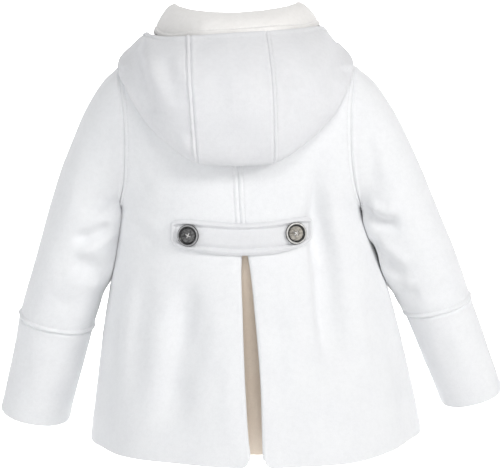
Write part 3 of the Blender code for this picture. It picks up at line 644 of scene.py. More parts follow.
@dataclass
class ClothSheet:
    """A sheet of cloth between two matching grids of points, with rounded edges where it isn't sewn on."""

    name: str
    outer: Grid
    thickness: float
    ring: bool = False
    cells: Grid | None = None
    normals: Grid | None = None
    turned: tuple[Edge, ...] = ()
    relief: Grid = field(init=False)

    def __post_init__(self) -> None:
        """Finds the sheet's normals and starts with no relief."""
        if self.normals is None:
            self.normals = self.grid_normals()
        self.relief = np.zeros(self.outer.shape[:2])

    def grid_normals(self) -> Grid:
        """Unit normals of the grid, pointing out of its outside."""
        if self.ring:
            around = np.roll(self.outer, -1, axis=1) - np.roll(self.outer, 1, axis=1)
        else:
            around = np.gradient(self.outer, axis=1)
        return unit(np.cross(around, np.gradient(self.outer, axis=0)))

    def distance(self, edge: Edge) -> Grid:
        """How far each point lies from an edge, along its own row or column.

        Args:
            edge: The edge.

        Returns:
            The distances in millimetres.
        """
        axis = 0 if edge in (Edge.FIRST_ROW, Edge.LAST_ROW) else 1
        steps = np.linalg.norm(np.diff(self.outer, axis=axis), axis=2)
        pad = np.zeros((1, steps.shape[1])) if axis == 0 else np.zeros((steps.shape[0], 1))
        run = np.concatenate([pad, np.cumsum(steps, axis=axis)], axis=axis)
        if edge is Edge.LAST_ROW:
            return run[-1:] - run
        if edge is Edge.LAST_COLUMN:
            return run[:, -1:] - run
        return run

    def sew(self, edge: Edge, seam: Seam, seed: int, where: Real = 1) -> None:
        """Adds a seam's relief along an edge."""
        along = self.distance(Edge.FIRST_COLUMN if edge in (Edge.FIRST_ROW, Edge.LAST_ROW) else Edge.FIRST_ROW)
        self.relief += seam.relief(self.distance(edge), along, seed) * where

    def lie_line(self, edge: Edge, offset: float, start: int = 0, end: int | None = None) -> tuple[Grid, Grid]:
        """A line on the sheet's outside at a distance from an edge.

        Args:
            edge: The edge.
            offset: The distance in millimetres.
            start: The first row or column of the line.
            end: The row or column before which it ends.

        Returns:
            The line's points and normals.
        """
        distance, surface, normals = self.distance(edge), self.surface(), self.normals
        if edge in (Edge.FIRST_ROW, Edge.LAST_ROW):
            distance, surface, normals = distance.T, surface.transpose(1, 0, 2), normals.transpose(1, 0, 2)
        points, ways = [], []
        for run, row, ways_row in list(zip(distance, surface, normals))[start:end]:
            order = np.argsort(run)
            points.append([np.interp(offset, run[order], row[order, k]) for k in range(3)])
            ways.append([np.interp(offset, run[order], ways_row[order, k]) for k in range(3)])
        return np.array(points), unit(np.array(ways))

    def surface(self) -> Grid:
        """The outside's points with the relief on them."""
        return self.outer + self.normals * self.relief[..., None]

    def area(self) -> float:
        """The area of the outside in square metres."""
        grid = self.surface()
        if self.ring:
            grid = np.concatenate([grid, grid[:, :1]], axis=1)
        a, b = grid[1:, 1:] - grid[:-1, :-1], grid[1:, :-1] - grid[:-1, 1:]
        areas = np.linalg.norm(np.cross(a, b), axis=2) / 2
        if self.cells is not None:
            areas = areas * self.cells
        return float(areas.sum()) * MM * MM

    def extent(self) -> tuple[float, float]:
        """The widest row and the longest column in metres."""
        grid = self.surface()
        if self.ring:
            grid = np.concatenate([grid, grid[:, :1]], axis=1)
        across = np.linalg.norm(np.diff(grid, axis=1), axis=2)
        down = np.linalg.norm(np.diff(grid, axis=0), axis=2)
        if self.cells is not None:
            across[:-1] *= self.cells
        return float(across.sum(axis=1).max()) * MM, float(down.sum(axis=0).max()) * MM

    def build(self, finish: Material) -> Thing:
        """Makes the mesh.

        Args:
            finish: Its material.

        Returns:
            The object.
        """
        rows, columns = self.outer.shape[:2]
        wide = columns if self.ring else columns - 1
        cells = np.ones((rows - 1, wide), bool) if self.cells is None else self.cells
        outer = self.surface()
        inner = outer - self.normals * self.thickness
        i, j = np.nonzero(cells)
        a, b = i * columns + j, i * columns + (j + 1) % columns
        c, d = (i + 1) * columns + (j + 1) % columns, (i + 1) * columns + j
        size = rows * columns
        top = np.stack([a, b, c, d], axis=1)
        faces = [top, top[:, ::-1] + size]
        points = [outer.reshape(-1, 3), inner.reshape(-1, 3)]
        edges = np.concatenate([np.stack(pair, axis=1) for pair in ((a, b), (b, c), (c, d), (d, a))])
        keys = edges[:, 0] * size + edges[:, 1]
        back = edges[:, 1] * size + edges[:, 0]
        rim = edges[~np.isin(keys, back)]
        rim_points, rim_faces = self.round_edge(rim, outer.reshape(-1, 3), inner.reshape(-1, 3), size)
        points.append(rim_points)
        faces.append(rim_faces)
        points, faces = np.concatenate(points) * MM, np.concatenate(faces)
        used = np.unique(faces)
        index = np.full(len(points), -1)
        index[used] = np.arange(len(used))
        mesh = mesh_of(self.name, points[used].tolist(), index[faces].tolist())
        mesh.validate()
        return show(self.name, mesh, finish)

    def round_edge(self, rim: Grid, outer: Grid, inner: Grid, size: int) -> tuple[Grid, Grid]:
        """The strip that closes the sheet along its edge, half round where the edge is turned.

        Args:
            rim: The pairs of neighbours along the edge.
            outer: The outside's points.
            inner: The inside's points.
            size: How many points each side has.

        Returns:
            The strip's own points and its faces.
        """
        columns = self.outer.shape[1]
        outward = np.zeros_like(outer)
        ways = np.cross(outer[rim[:, 1]] - outer[rim[:, 0]], (outer - inner)[rim[:, 0]])
        for k in (0, 1):
            np.add.at(outward, rim[:, k], unit(ways))
        outward = unit(outward)
        row, column = np.divmod(np.arange(size), columns)
        plump = np.full(size, 0.12)
        tests = {
            Edge.FIRST_ROW: row == 0,
            Edge.LAST_ROW: row == self.outer.shape[0] - 1,
            Edge.FIRST_COLUMN: column == 0,
            Edge.LAST_COLUMN: column == columns - 1,
        }
        for edge in self.turned:
            plump[tests[edge]] = 1.0
        verts = np.unique(rim)
        place = np.full(size, -1)
        place[verts] = np.arange(len(verts))
        middle, arm = (outer + inner)[verts] / 2, (outer - inner)[verts] / 2
        turns = np.linspace(0, math.pi, 6)[1:-1]
        bulge = outward[verts] * (plump[verts] * self.thickness / 2)[:, None]
        layers = [middle + arm * math.cos(t) + bulge * math.sin(t) for t in turns]
        chains = [rim] + [place[rim] + 2 * size + k * len(verts) for k in range(len(turns))] + [rim + size]
        strips = [np.stack([u[:, 1], u[:, 0], v[:, 0], v[:, 1]], axis=1) for u, v in zip(chains, chains[1:])]
        return np.concatenate(layers), np.concatenate(strips)


@dataclass(frozen=True)
class StitchRun:
    """A line of topstitching: short rounded stitches, half sunk into the cloth."""

    name: str
    length: float = 2.7
    pitch: float = 3.5
    radius: float = 0.26
    sides: int = 6

    def build(self, lines: list[tuple[Grid, Grid]], finish: Material, closed: bool = False) -> Thing:
        """Makes all the stitches of a few lines as one mesh.

        Args:
            lines: Each line's points and normals.
            finish: Their material.
            closed: Whether the lines close on themselves.

        Returns:
            The object.
        """
        points, faces = [], []
        for path, ways in lines:
            if closed:
                path, ways = np.concatenate([path, path[:1]]), np.concatenate([ways, ways[:1]])
            run = run_of(path)
            count = max(1, int(run[-1] / self.pitch))
            for k in range(count):
                middle = (k + 0.5) * run[-1] / count
                ends = [middle - self.length / 2, middle + self.length / 2]
                a, b = (np.array([np.interp(e, run, path[:, m]) for m in range(3)]) for e in ends)
                way = np.array([np.interp(middle, run, ways[:, m]) for m in range(3)])
                self.add(points, faces, a, b, way)
        return show(self.name, mesh_of(self.name, [tuple(p * MM) for p in points], faces), finish)

    def add(self, points: list, faces: list, a: Grid, b: Grid, way: Grid) -> None:
        """Adds one stitch.

        Args:
            points: The mesh's points so far.
            faces: The mesh's faces so far.
            a: Where it goes in.
            b: Where it comes out.
            way: The way out of the cloth.
        """
        along = unit(b - a)
        across = unit(np.cross(along, way))
        up = np.cross(across, along)
        base = len(points)
        rings = ((0, 0.35, -0.30), (0.12, 0.85, -0.02), (0.5, 1, 0.10), (0.88, 0.85, -0.02), (1, 0.35, -0.30))
        for place, wide, lift in rings:
            centre = a + (b - a) * place + up * (lift * self.radius + 0.02)
            for s in range(self.sides):
                turn = 2 * math.pi * s / self.sides
                points.append(centre + (across * math.cos(turn) + up * math.sin(turn)) * self.radius * wide)
        n = self.sides
        for r in range(len(rings) - 1):
            for s in range(n):
                q = (s + 1) % n
                faces.append((base + r * n + s, base + r * n + q, base + (r + 1) * n + q, base + (r + 1) * n + s))
        faces.append(tuple(base + s for s in range(n))[::-1])
        faces.append(tuple(base + (len(rings) - 1) * n + s for s in range(n)))


@dataclass(frozen=True)
class NodeBoard:
    """A material's node tree, with short ways to add and join nodes."""

    material: Material

    @classmethod
    def fresh(cls, name: str) -> NodeBoard:
        """Starts a material with only its shader and output.

        Args:
            name: The material's name.

        Returns:
            The board.
        """
        material = bpy.data.materials.new(name)
        material.use_nodes = True
        return cls(material)

    @property
    def shader(self) -> bpy.types.Node:
        """The material's main shader."""
        return self.material.node_tree.nodes["Principled BSDF"]

    def add(self, kind: str, inputs: dict | None = None, **settings: object) -> bpy.types.Node:
        """Adds a node.

        Args:
            kind: Its type.
            inputs: Values or sockets for its inputs.
            **settings: Values for its own settings.

        Returns:
            The node.
        """
        node = self.material.node_tree.nodes.new(kind)
        for name, value in settings.items():
            setattr(node, name, value)
        for name, value in (inputs or {}).items():
            self.put(node.inputs[name], value)
        return node

    def put(self, socket: Socket, value: object) -> None:
        """Sets an input to a value or joins it to another socket.

        Args:
            socket: The input.
            value: The value or the socket.
        """
        if isinstance(value, Socket):
            self.material.node_tree.links.new(value, socket)
        else:
            socket.default_value = (*value, 1) if socket.type == "RGBA" else value

    def shade(self, **values: object) -> None:
        """Sets inputs of the main shader. An underscore in a name stands for a space."""
        for name, value in values.items():
            self.put(self.shader.inputs[name.replace("_", " ")], value)

    def noise(self, where: Socket, scale: float, detail: float = 3, rough: float = 0.55) -> Socket:
        """Adds a noise."""
        values = {"Vector": where, "Scale": scale, "Detail": detail, "Roughness": rough}
        return self.add("ShaderNodeTexNoise", values).outputs["Fac"]

    def ramp(self, value: Socket, *stops: tuple) -> Socket:
        """Adds a colour ramp.

        Args:
            value: What it reads.
            *stops: Places and their colours.

        Returns:
            Its colour.
        """
        node = self.add("ShaderNodeValToRGB", {"Fac": value})
        marks = node.color_ramp.elements
        while len(marks) < len(stops):
            marks.new(0.5)
        for mark, (place, colour) in zip(marks, stops):
            mark.position = place
            mark.color = (*colour, 1)
        return node.outputs["Color"]

    def blend(self, share: object, first: object, second: object, kind: str = "MIX") -> Socket:
        """Mixes two colours."""
        return self.add("ShaderNodeMix", {0: share, 6: first, 7: second}, data_type="RGBA", blend_type=kind).outputs[2]

    def sum(self, first: object, second: object, kind: str = "ADD") -> Socket:
        """Adds up or otherwise joins two numbers."""
        return self.add("ShaderNodeMath", {0: first, 1: second}, operation=kind).outputs[0]


@dataclass(frozen=True)
class WoolFinish:
    """Thick felted wool: a short nap of fine fibres, faint mottling and a soft sheen."""

    name: str
    light: Triple
    shade: Triple
    nap: float = 0.16
    sheen: float = 0.35

    def build(self) -> Material:
        """Makes the material."""
        board = NodeBoard.fresh(self.name)
        where = board.add("ShaderNodeTexCoord").outputs["Object"]
        fibre = board.add("ShaderNodeMapping", {"Vector": where, "Scale": (1, 1, 0.3), "Rotation": (0.35, 0.2, 0.5)})
        cloudy = board.noise(where, 26, 4)
        mottle = board.noise(where, 210, 3)
        fibres = board.noise(fibre.outputs["Vector"], 1900, 4, 0.65)
        tufts = board.noise(where, 620, 3, 0.6)
        tone = board.ramp(cloudy, (0.3, self.shade), (0.7, self.light))
        specks = board.ramp(mottle, (0.3, (0.965, 0.965, 0.965)), (0.6, (1, 1, 1)))
        tone = board.blend(0.8, tone, specks, "MULTIPLY")
        # The fibre noise that also lowers the nap's bump darkens the colour here: painted shade in the nap's hollows.
        fine = board.ramp(fibres, (0.34, (0.93, 0.93, 0.935)), (0.66, (1, 1, 1)))
        tone = board.blend(0.7, tone, fine, "MULTIPLY")
        board.shade(Base_Color=tone)
        relief = board.sum(board.sum(fibres, 0.6, "MULTIPLY"), board.sum(tufts, 1, "MULTIPLY"))
        bumps = board.add("ShaderNodeBump", {"Height": relief, "Strength": 0.6, "Distance": self.nap * MM})
        board.shade(Normal=bumps.outputs["Normal"])
        rough = board.ramp(tufts, (0.3, (0.84, 0.84, 0.84)), (0.7, (0.97, 0.97, 0.97)))
        board.shade(Roughness=rough, Sheen_Weight=self.sheen, Sheen_Roughness=0.45, Specular_IOR_Level=0.25)
        return board.material


@dataclass(frozen=True)
class ThreadFinish:
    """Sewing thread with its twist, its colour darker in the twist's grooves as painted shade."""

    name: str
    colour: Triple

    def build(self) -> Material:
        """Makes the material."""
        board = NodeBoard.fresh(self.name)
        where = board.add("ShaderNodeTexCoord").outputs["Object"]
        twist = board.noise(where, 1500, 2)
        # Darker where the twist's bump is low: painted shade in the twist's grooves.
        dark = tuple(0.8 * c for c in self.colour)
        board.shade(Base_Color=board.ramp(twist, (0.35, dark), (0.65, self.colour)))
        bumps = board.add("ShaderNodeBump", {"Height": twist, "Strength": 0.5, "Distance": 0.00008})
        board.shade(Normal=bumps.outputs["Normal"], Roughness=0.6, Sheen_Weight=0.2)
        return board.material


@dataclass(frozen=True)
class HornFinish:
    """A mottled grey button: a lighter rim, a near black ring inside it and a cloudy middle."""

    name: str
    dark: Triple
    light: Triple
    rim: Triple

    def build(self) -> Material:
        """Makes the material."""
        board = NodeBoard.fresh(self.name)
        where = board.add("ShaderNodeTexCoord").outputs["Object"]
        split = board.add("ShaderNodeSeparateXYZ", {"Vector": where})
        squares = [board.sum(split.outputs[k], split.outputs[k], "MULTIPLY") for k in (0, 1)]
        radius = board.sum(board.sum(squares[0], squares[1]), 0.5, "POWER")
        cloud = board.noise(where, 330, 5, 0.62)
        streak = board.add("ShaderNodeMapping", {"Vector": where, "Scale": (1, 3, 1), "Rotation": (0, 0, 0.7)})
        veins = board.noise(streak.outputs["Vector"], 170, 4, 0.6)
        tone = board.ramp(board.sum(board.sum(cloud, veins), 0.5, "MULTIPLY"), (0.40, self.dark), (0.58, self.light))
        share = board.sum(radius, 1 / 0.0122, "MULTIPLY")
        black, full = (0.03, 0.03, 0.032), (1, 1, 1)
        ring = board.ramp(share, (0.61, full), (0.66, black), (0.80, black), (0.85, full), (0.93, full), (0.965, black))
        outer = board.ramp(share, (0.78, (0, 0, 0)), (0.83, full))
        tone = board.blend(outer, tone, self.rim)
        worn = board.blend(board.ramp(veins, (0.4, (0.75, 0.75, 0.76)), (0.6, (1, 1, 1))), (0, 0, 0), tone)
        board.shade(Base_Color=board.blend(1, worn, ring, "MULTIPLY"))
        scratches = board.noise(where, 900, 3)
        bumps = board.add("ShaderNodeBump", {"Height": scratches, "Strength": 0.25, "Distance": 0.00005})
        board.shade(Normal=bumps.outputs["Normal"])
        board.shade(Roughness=board.ramp(cloud, (0.3, (0.22, 0.22, 0.22)), (0.7, (0.38, 0.38, 0.38))))
        board.shade(Coat_Weight=0.35)
        return board.material


@dataclass(frozen=True)
class StageFinish:
    """The pale studio floor and backdrop."""

    name: str
    colour: Triple

    def build(self) -> Material:
        """Makes the material."""
        board = NodeBoard.fresh(self.name)
        where = board.add("ShaderNodeTexCoord").outputs["Object"]
        soft = board.noise(where, 1.5, 2)
        dim = tuple(0.985 * c for c in self.colour)
        board.shade(Base_Color=board.ramp(soft, (0.3, dim), (0.7, self.colour)), Roughness=0.95, Specular_IOR_Level=0)
        return board.material


@dataclass
class Finishes:
    """Every material of the coat, made once."""

    coat: Material
    # Darker copy of the coat's wool for the hood and the half belt: painted shade.
    hood: Material
    collar: Material
    # Beige painted shade for the strip behind the pleat.
    underlay: Material
    thread: Material
    button_thread: Material
    dark_horn: Material
    pale_horn: Material

    @classmethod
    def make(cls) -> Finishes:
        """Makes them all."""
        return cls(
            coat=WoolFinish("white_wool", (0.87, 0.88, 0.89), (0.845, 0.855, 0.87)).build(),
            # The hood and the half belt are the coat's own white wool; this darker copy is painted shade that their
            # shapes don't cast.
            hood=WoolFinish("hood_wool", (0.795, 0.80, 0.815), (0.77, 0.777, 0.795)).build(),
            collar=WoolFinish("cream_wool", (0.89, 0.878, 0.86), (0.865, 0.85, 0.83)).build(),
            # The strip behind the pleat is the same white wool; its beige tone is painted shade of the deep pleat.
            underlay=WoolFinish("beige_underlay", (0.97, 0.85, 0.72), (0.93, 0.80, 0.67), sheen=0.2).build(),
            thread=ThreadFinish("white_thread", (0.84, 0.84, 0.85)).build(),
            button_thread=ThreadFinish("pale_thread", (0.80, 0.79, 0.77)).build(),
            dark_horn=HornFinish("dark_horn", (0.03, 0.03, 0.032), (0.16, 0.16, 0.16), (0.36, 0.36, 0.37)).build(),
            pale_horn=HornFinish("pale_horn", (0.20, 0.185, 0.16), (0.46, 0.43, 0.38), (0.66, 0.65, 0.63)).build(),
        )


@dataclass
class Workroom:
    """Sets finished pieces into the frame and keeps their names for the log."""

    finishes: Finishes
    made: list[str] = field(default_factory=list)

    def place(self, piece: Thing, slot: Slot, node: str | None = None) -> None:
        """Lets a piece ride on the coat, in place of its solid if it has one.

        Args:
            piece: The piece.
            slot: The piece's material slot; not used.
            node: The solid that it stands for.
        """
        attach(piece, "root")
        if node:
            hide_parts(node)
        self.made.append(piece.name)
        LOG.info("%s: %d faces", piece.name, len(piece.data.polygons))

    def place_sheet(self, sheet: ClothSheet, finish: Material, slot: Slot = Slot.COAT) -> None:
        """Builds a sheet, sets it in place of the solid of its name and declares its cut.

        Args:
            sheet: The sheet.
            finish: Its material.
            slot: Its material slot.
        """
        piece = sheet.build(finish)
        self.place(piece, slot, sheet.name)
        wide, long = sheet.extent()
        area = min(sheet.area(), wide * long)
        LOG.info("%s: cut %.3f x %.3f m, %.4f square metres", sheet.name, wide, long, area)


@dataclass(frozen=True)
class PleatRow:
    """Where the two folds of the inverted pleat lie at a height, and how deep the cloth goes behind them."""

    height: float
    left_fold: float
    right_fold: float
    depth: float


@dataclass(frozen=True)
class Pleat:
    """The inverted pleat below the half belt."""

    top: float = -214.0
    roll: float = 3.2
    reach: float = 40.0
    underlay_hem: float = -452.5
    rows: tuple[PleatRow, ...] = (
        PleatRow(-455, -16, -28.5, 60),
        PleatRow(-435, -14, -28, 55),
        PleatRow(-367, -9.5, -26, 41),
        PleatRow(-300, -7, -20.5, 27),
        PleatRow(-232, -6, -12.5, 11),
        PleatRow(-214, -7.6, -8.8, 7),
    )

    def fold_at(self, side: Side, height: Real) -> Grid:
        """How far across a fold lies."""
        return Curve.of(self.rows, "height", f"{side.word}_fold")(height)

    def inside(self, torso: TorsoForm, side: Side, edge: Grid, height: float, thickness: float) -> Grid:
        """The fold and the hidden return of a back at one height.

        Args:
            torso: The form.
            side: Which back.
            edge: The panel's last point.
            height: The row's height.
            thickness: The cloth's.

        Returns:
            The points past the panel's last one.
        """
        roll, s = self.roll, side.value
        deep = max(float(Curve.of(self.rows, "height", "depth")(height)), 2 * roll)
        fall = math.atan2(deep - 2 * roll, self.reach - 2 * roll)
        turns = np.linspace(0, math.pi - fall, 13)[1:]
        arc = np.stack([edge[0] - s * roll * np.sin(turns), edge[1] + roll * (np.cos(turns) - 1),
                        np.full(len(turns), edge[2])], axis=1)
        inner = np.array([edge[0] + s * (self.reach - roll), edge[1] - deep, edge[2]])
        steps = np.linspace(0, 1, 13)[1:, None]
        straight = arc[-1] * (1 - steps) + inner * steps
        limit = torso.back_at(straight[:, 0], np.full(len(straight), height))[:, 1] - 2 * thickness - 0.6
        straight[:, 1] = np.minimum(straight[:, 1], limit)
        return np.concatenate([arc, straight])


@dataclass(frozen=True)
class Torso:
    """The two backs, the strip behind the pleat and the two fronts."""

    form: TorsoForm
    pleat: Pleat
    thickness: float = 2.0
    gap: float = 0.1
    lap: float = 22.0
    corner: float = 8.5
    lap_start: float = 0.16
    lap_end: float = 0.48
    columns: int = 104
    back_creases: tuple[Crease, ...] = (
        Crease(((-84, -122), (-90, -175), (-94, -225), (-100, -295), (-109, -385)), 13, 16, 0.06, 1),
        Crease(((-144, -262), (-152, -320), (-164, -390)), 8, 2.8, 0.5, 1.5),
        Crease(((-62, -275), (-66, -340), (-68, -400)), 11, -2.6, 0.2),
        Crease(((-88, -372), (-94, -410), (-100, -446)), 8, 1.8, 0.5, 1.6),
        Crease(((48, -244), (59, -300), (67, -355), (76, -434)), 14, 8.5, 0.08, 1.3),
        Crease(((30, -282), (40, -325), (50, -365)), 8, 1.6, 0.4, 1.5),
        Crease(((98, -236), (112, -320), (120, -420)), 11, 5, 0.15, 1.7),
        Crease(((134, -262), (142, -330), (152, -410)), 8, 2.2, 0.4, 1.4),
        Crease(((120, -192), (102, -212), (86, -228)), 8, 2.2, 0.5),
        Crease(((-130, -184), (-122, -160), (-118, -138)), 8, -2.2, 0.2),
        Crease(((118, -126), (106, -150), (98, -180)), 8, 1.6),
        Crease(((10, -330), (9, -390), (7, -440)), 9, -1.9, 0.2),
        Crease(((-38, -262), (-42, -330), (-44, -420)), 10, 1.8, 0.3),
    )
    front_creases: tuple[Crease, ...] = (
        Crease(((-66, -196), (-76, -280), (-90, -400)), 14, 4.4, 0.5),
        Crease(((-112, -226), (-124, -310), (-136, -400)), 10, 2.4),
        Crease(((58, -206), (64, -290), (74, -424)), 15, 3.8, 0.5),
        Crease(((100, -236), (112, -320), (122, -410)), 10, 2.2),
        Crease(((-30, -300), (-34, -360), (-36, -430)), 10, 1.6),
        Crease(((112, -188), (92, -206), (76, -214)), 8, 1.8),
        Crease(((-112, -186), (-94, -202), (-80, -212)), 8, 1.8),
    )

    def heights(self) -> Grid:
        """Row heights from the hem up, closest together at the hem and where the armhole curves most."""
        form = self.form
        hem = form.hem + np.arange(8) * 1.0
        skirt = np.linspace(form.hem + 8, form.armpit, 72, endpoint=False)
        middle, tall = (form.armpit + form.shoulder) / 2, (form.shoulder - form.armpit) / 2
        yoke = middle + tall * np.cos(np.radians(np.linspace(180, 0, 62, endpoint=False)))
        shoulder = np.linspace(form.shoulder, form.neck_side, 12)
        heights = np.concatenate([hem, skirt, yoke, shoulder])
        heights[np.argmin(np.abs(heights - self.pleat.top))] = self.pleat.top
        return heights

    def rows_of(self, lines: Grid, heights: Grid) -> Grid:
        """Panel rows with their points close together beside the seams, and drawn smooth across the armpit.

        Args:
            lines: Each row's fine line of points, from its outer edge.
            heights: The rows' heights.

        Returns:
            The grid.
        """
        rows = []
        for line in lines:
            length = length_of(line) - self.gap / 2
            rows.append(resample(line, self.gap / 2 + spread_out(length, self.columns, 12, 12)))
        grid = np.array(rows)
        weights = bump(heights[:, None], heights[None, :], 15) * np.gradient(heights)[None, :]
        weights /= weights.sum(axis=1, keepdims=True)
        soft = np.einsum("ij,jkl->ikl", weights, grid)
        run = np.cumsum(np.linalg.norm(np.diff(grid, axis=1, prepend=grid[:, :1]), axis=2), axis=1)
        share = ease(np.abs(heights - self.form.armpit), 62, 34)[:, None] * ease(run, 1, 16)
        share = (share * ease(run[:, -1:] - run, 1, 16))[..., None]
        return grid * (1 - share) + soft * share

    def back(self, side: Side) -> ClothSheet:
        """One back, with its half of the pleat folded under below the belt.

        Args:
            side: Which back.

        Returns:
            The sheet.
        """
        form, s, heights = self.form, side.value, self.heights()
        middle, _, _, _, end = form.section(s, 1, heights)
        fold = s * (self.pleat.fold_at(side, heights) - middle) + self.pleat.roll
        pleated = heights <= self.pleat.top
        start = form.angle_of(s, 1, heights, np.where(pleated, fold, self.gap / 2))
        share = np.linspace(0, 1, 160)
        angles = end[:, None] * (1 - share) + start[:, None] * share
        rise = ease(heights, form.shoulder, form.neck_side)[:, None] * (form.nape - form.neck_side) * np.cos(angles) ** 2
        flat = self.rows_of(form.point(s, 1, heights[:, None] + rise, angles), heights)
        inside = np.array([
            self.pleat.inside(form, side, row[-1], float(h), self.thickness) for row, h in zip(flat, heights)
        ])
        to_fold = np.cumsum(np.linalg.norm(np.diff(flat[:, ::-1], axis=1, prepend=flat[:, -1:]), axis=2), axis=1)[:, ::-1]
        turned_up = self.corner * (1 - np.sqrt(1 - np.clip(1 - to_fold / self.corner, 0, 1) ** 2))
        low = ease(heights, form.hem + 34, form.hem)[:, None]
        flat[..., 2] += turned_up * low
        inside[..., 2] += self.corner * low * np.linspace(1, 0.75, inside.shape[1])
        grid = np.concatenate([flat, inside], axis=1)
        columns = flat.shape[1]
        cells = np.ones((len(heights) - 1, grid.shape[1] - 1), bool)
        cells[heights[:-1] >= self.pleat.top, columns - 1:] = False
        order = slice(None) if s > 0 else slice(None, None, -1)
        sheet = ClothSheet(
            f"back_{side.word}", grid[:, order], self.thickness, cells=cells[:, order],
            turned=(Edge.FIRST_ROW,),
        )
        plain = ClothSheet("plain", flat[:, order], self.thickness).normals
        panel = slice(0, columns) if s > 0 else slice(grid.shape[1] - columns, None)
        above = heights > self.pleat.top
        sheet.normals[above, panel] = plain[above]
        self.press_back(sheet, side, heights, panel)
        return sheet

    def press_back(self, sheet: ClothSheet, side: Side, heights: Grid, panel: slice) -> None:
        """Adds a back's seams and folds.

        Args:
            sheet: The back.
            side: Which back.
            heights: Its rows' heights.
            panel: Its columns that aren't in the pleat.
        """
        shown = np.zeros(sheet.relief.shape)
        shown[:, panel] = 1.0
        outer_edge = side.edges[0]
        form = self.form
        in_arm = ((heights > form.armpit) & (heights < form.shoulder))[:, None]
        sheet.sew(outer_edge, PLAIN_SEAM, 3, np.where(in_arm, 0, 1) * shown)
        sheet.sew(outer_edge, Seam(0.2, 0.6, 5.5, 0.5), 5, np.where(in_arm, 1, 0) * shown)
        run = sheet.distance(outer_edge)
        columns = np.arange(sheet.outer.shape[1])[panel]
        centre = columns[-1] if side is Side.LEFT else columns[0]
        to_centre = np.abs(run - run[:, centre:centre + 1])
        above_belt = ease(heights, self.pleat.top - 2, self.pleat.top + 4)[:, None]
        along = sheet.distance(Edge.FIRST_ROW)
        stitched = Seam(0.7, 1.1, 5.4, 0.7).relief(to_centre, along, 8 + side.value)
        sheet.relief += stitched * above_belt * shown
        pressed = 0.8 * bump(to_centre, 9, 9) * (1 + 0.3 * waver(along, 60, 12 + side.value))
        sheet.relief += pressed * (1 - above_belt) * shown
        x, z = sheet.outer[..., 0], sheet.outer[..., 2]
        rim = ease(run, 4, 22)
        for crease in self.back_creases:
            sheet.relief += crease.relief(x, z) * shown * rim
        sheet.relief += 0.22 * waver(x + 0.4 * z, 61, 31) * waver(z, 83, 32) * shown * rim

    def underlay(self) -> ClothSheet:
        """The strip behind the pleat, just behind the ends of both returns."""
        form, rows = self.form, 70
        heights = np.linspace(self.pleat.underlay_hem, self.pleat.top - 1, rows)
        grid = []
        for height in heights:
            ends = []
            for side in (Side.LEFT, Side.RIGHT):
                edge = float(self.pleat.fold_at(side, height)) + side.value * self.pleat.roll
                start = form.back_at(edge, height)
                ends.append(self.pleat.inside(form, side, start, float(height), self.thickness)[-1])
            left, right = ends
            share = np.linspace(0, 1, 40)[:, None]
            line = (left + [3, 0, 0.0]) * (1 - share) + (right - [3, 0, 0.0]) * share
            deep = float(Curve.of(self.pleat.rows, "height", "depth")(height))
            line[:, 1] += 0.28 * max(deep - 9, 0) * np.sin(share[:, 0] * math.pi) ** 2 - self.gap - 0.2
            grid.append(line)
        sheet = ClothSheet("pleat_underlay", np.array(grid), self.thickness, turned=(Edge.FIRST_ROW,))
        x, z = sheet.outer[..., 0], sheet.outer[..., 2]
        sheet.relief += -0.35 + 0.35 * waver(x + 0.1 * z, 34, 41)
        return sheet

    def neckline(self, share: Grid) -> tuple[Grid, Grid]:
        """The front neckline.

        Args:
            share: 0 at the shoulder seam and 1 at the centre front.

        Returns:
            How far out it lies and its height.
        """
        turn = share * math.pi / 2
        out = self.form.neck_half_width * np.maximum(np.cos(turn), 0) ** 0.9
        return out, self.form.neck_side + (self.form.front_neck - self.form.neck_side) * np.sin(turn) ** 1.25

    def front(self, side: Side) -> ClothSheet:
        """One plain front. The wearer's right front laps over the left one.

        Args:
            side: Which front.

        Returns:
            The sheet.
        """
        form, s, heights = self.form, side.value, self.heights()[:, None]
        share = np.linspace(0, 1, 150)[None, :]
        out_top, top = self.neckline(np.minimum(1, share * 1.15))
        lift = np.clip((heights - form.armpit) / (form.neck_side - form.armpit), 0, 1)
        z = np.where(heights <= form.armpit, heights, form.armpit + (top - form.armpit) * lift)
        end = form.section(s, -1, z)[4]
        plain = (end + (form.angle_of(s, -1, z, np.array(-self.lap)) - end) * share) / end
        past = np.clip((share * 1.15 - 1) / 0.15, 0, 1)
        goal = np.where(share * 1.15 > 1, -self.lap * past, out_top)
        at_top = form.angle_of(s, -1, top, goal) / form.section(s, -1, top)[4]
        rise = ease(heights, form.armpit, form.neck_side) ** 3
        angle = end * (plain * (1 - rise) + at_top * rise)
        lines = form.point(s, -1, z, angle)
        if side is Side.RIGHT:
            way = np.stack([lines[..., 0] - form.curves["middle"](z), lines[..., 1], np.zeros_like(z)], axis=-1)
            over = (self.thickness + self.gap + 0.3) * ease(angle / end, self.lap_end, self.lap_start)
            lines = lines + unit(way) * over[..., None]
        grid = self.rows_of(lines, heights[:, 0])
        order = slice(None, None, -1) if s > 0 else slice(None)
        lap_edge, outer_edge = side.edges
        sheet = ClothSheet(f"front_{side.word}", grid[:, order], self.thickness, turned=(Edge.FIRST_ROW, lap_edge))
        in_arm = (heights > form.armpit) & (heights < form.shoulder)
        sheet.sew(outer_edge, PLAIN_SEAM, 13, np.where(in_arm, 0, 1))
        sheet.sew(outer_edge, Seam(0.2, 0.6, 5.5, 0.5), 15, np.where(in_arm, 1, 0))
        sheet.sew(lap_edge, Seam(0, 0.35, 6, 0.45), 17)
        x, z = sheet.outer[..., 0], sheet.outer[..., 2]
        rim = ease(sheet.distance(outer_edge), 4, 22) * ease(sheet.distance(lap_edge), 10, 30)
        for crease in self.front_creases:
            sheet.relief += crease.relief(x, z) * rim
        return sheet

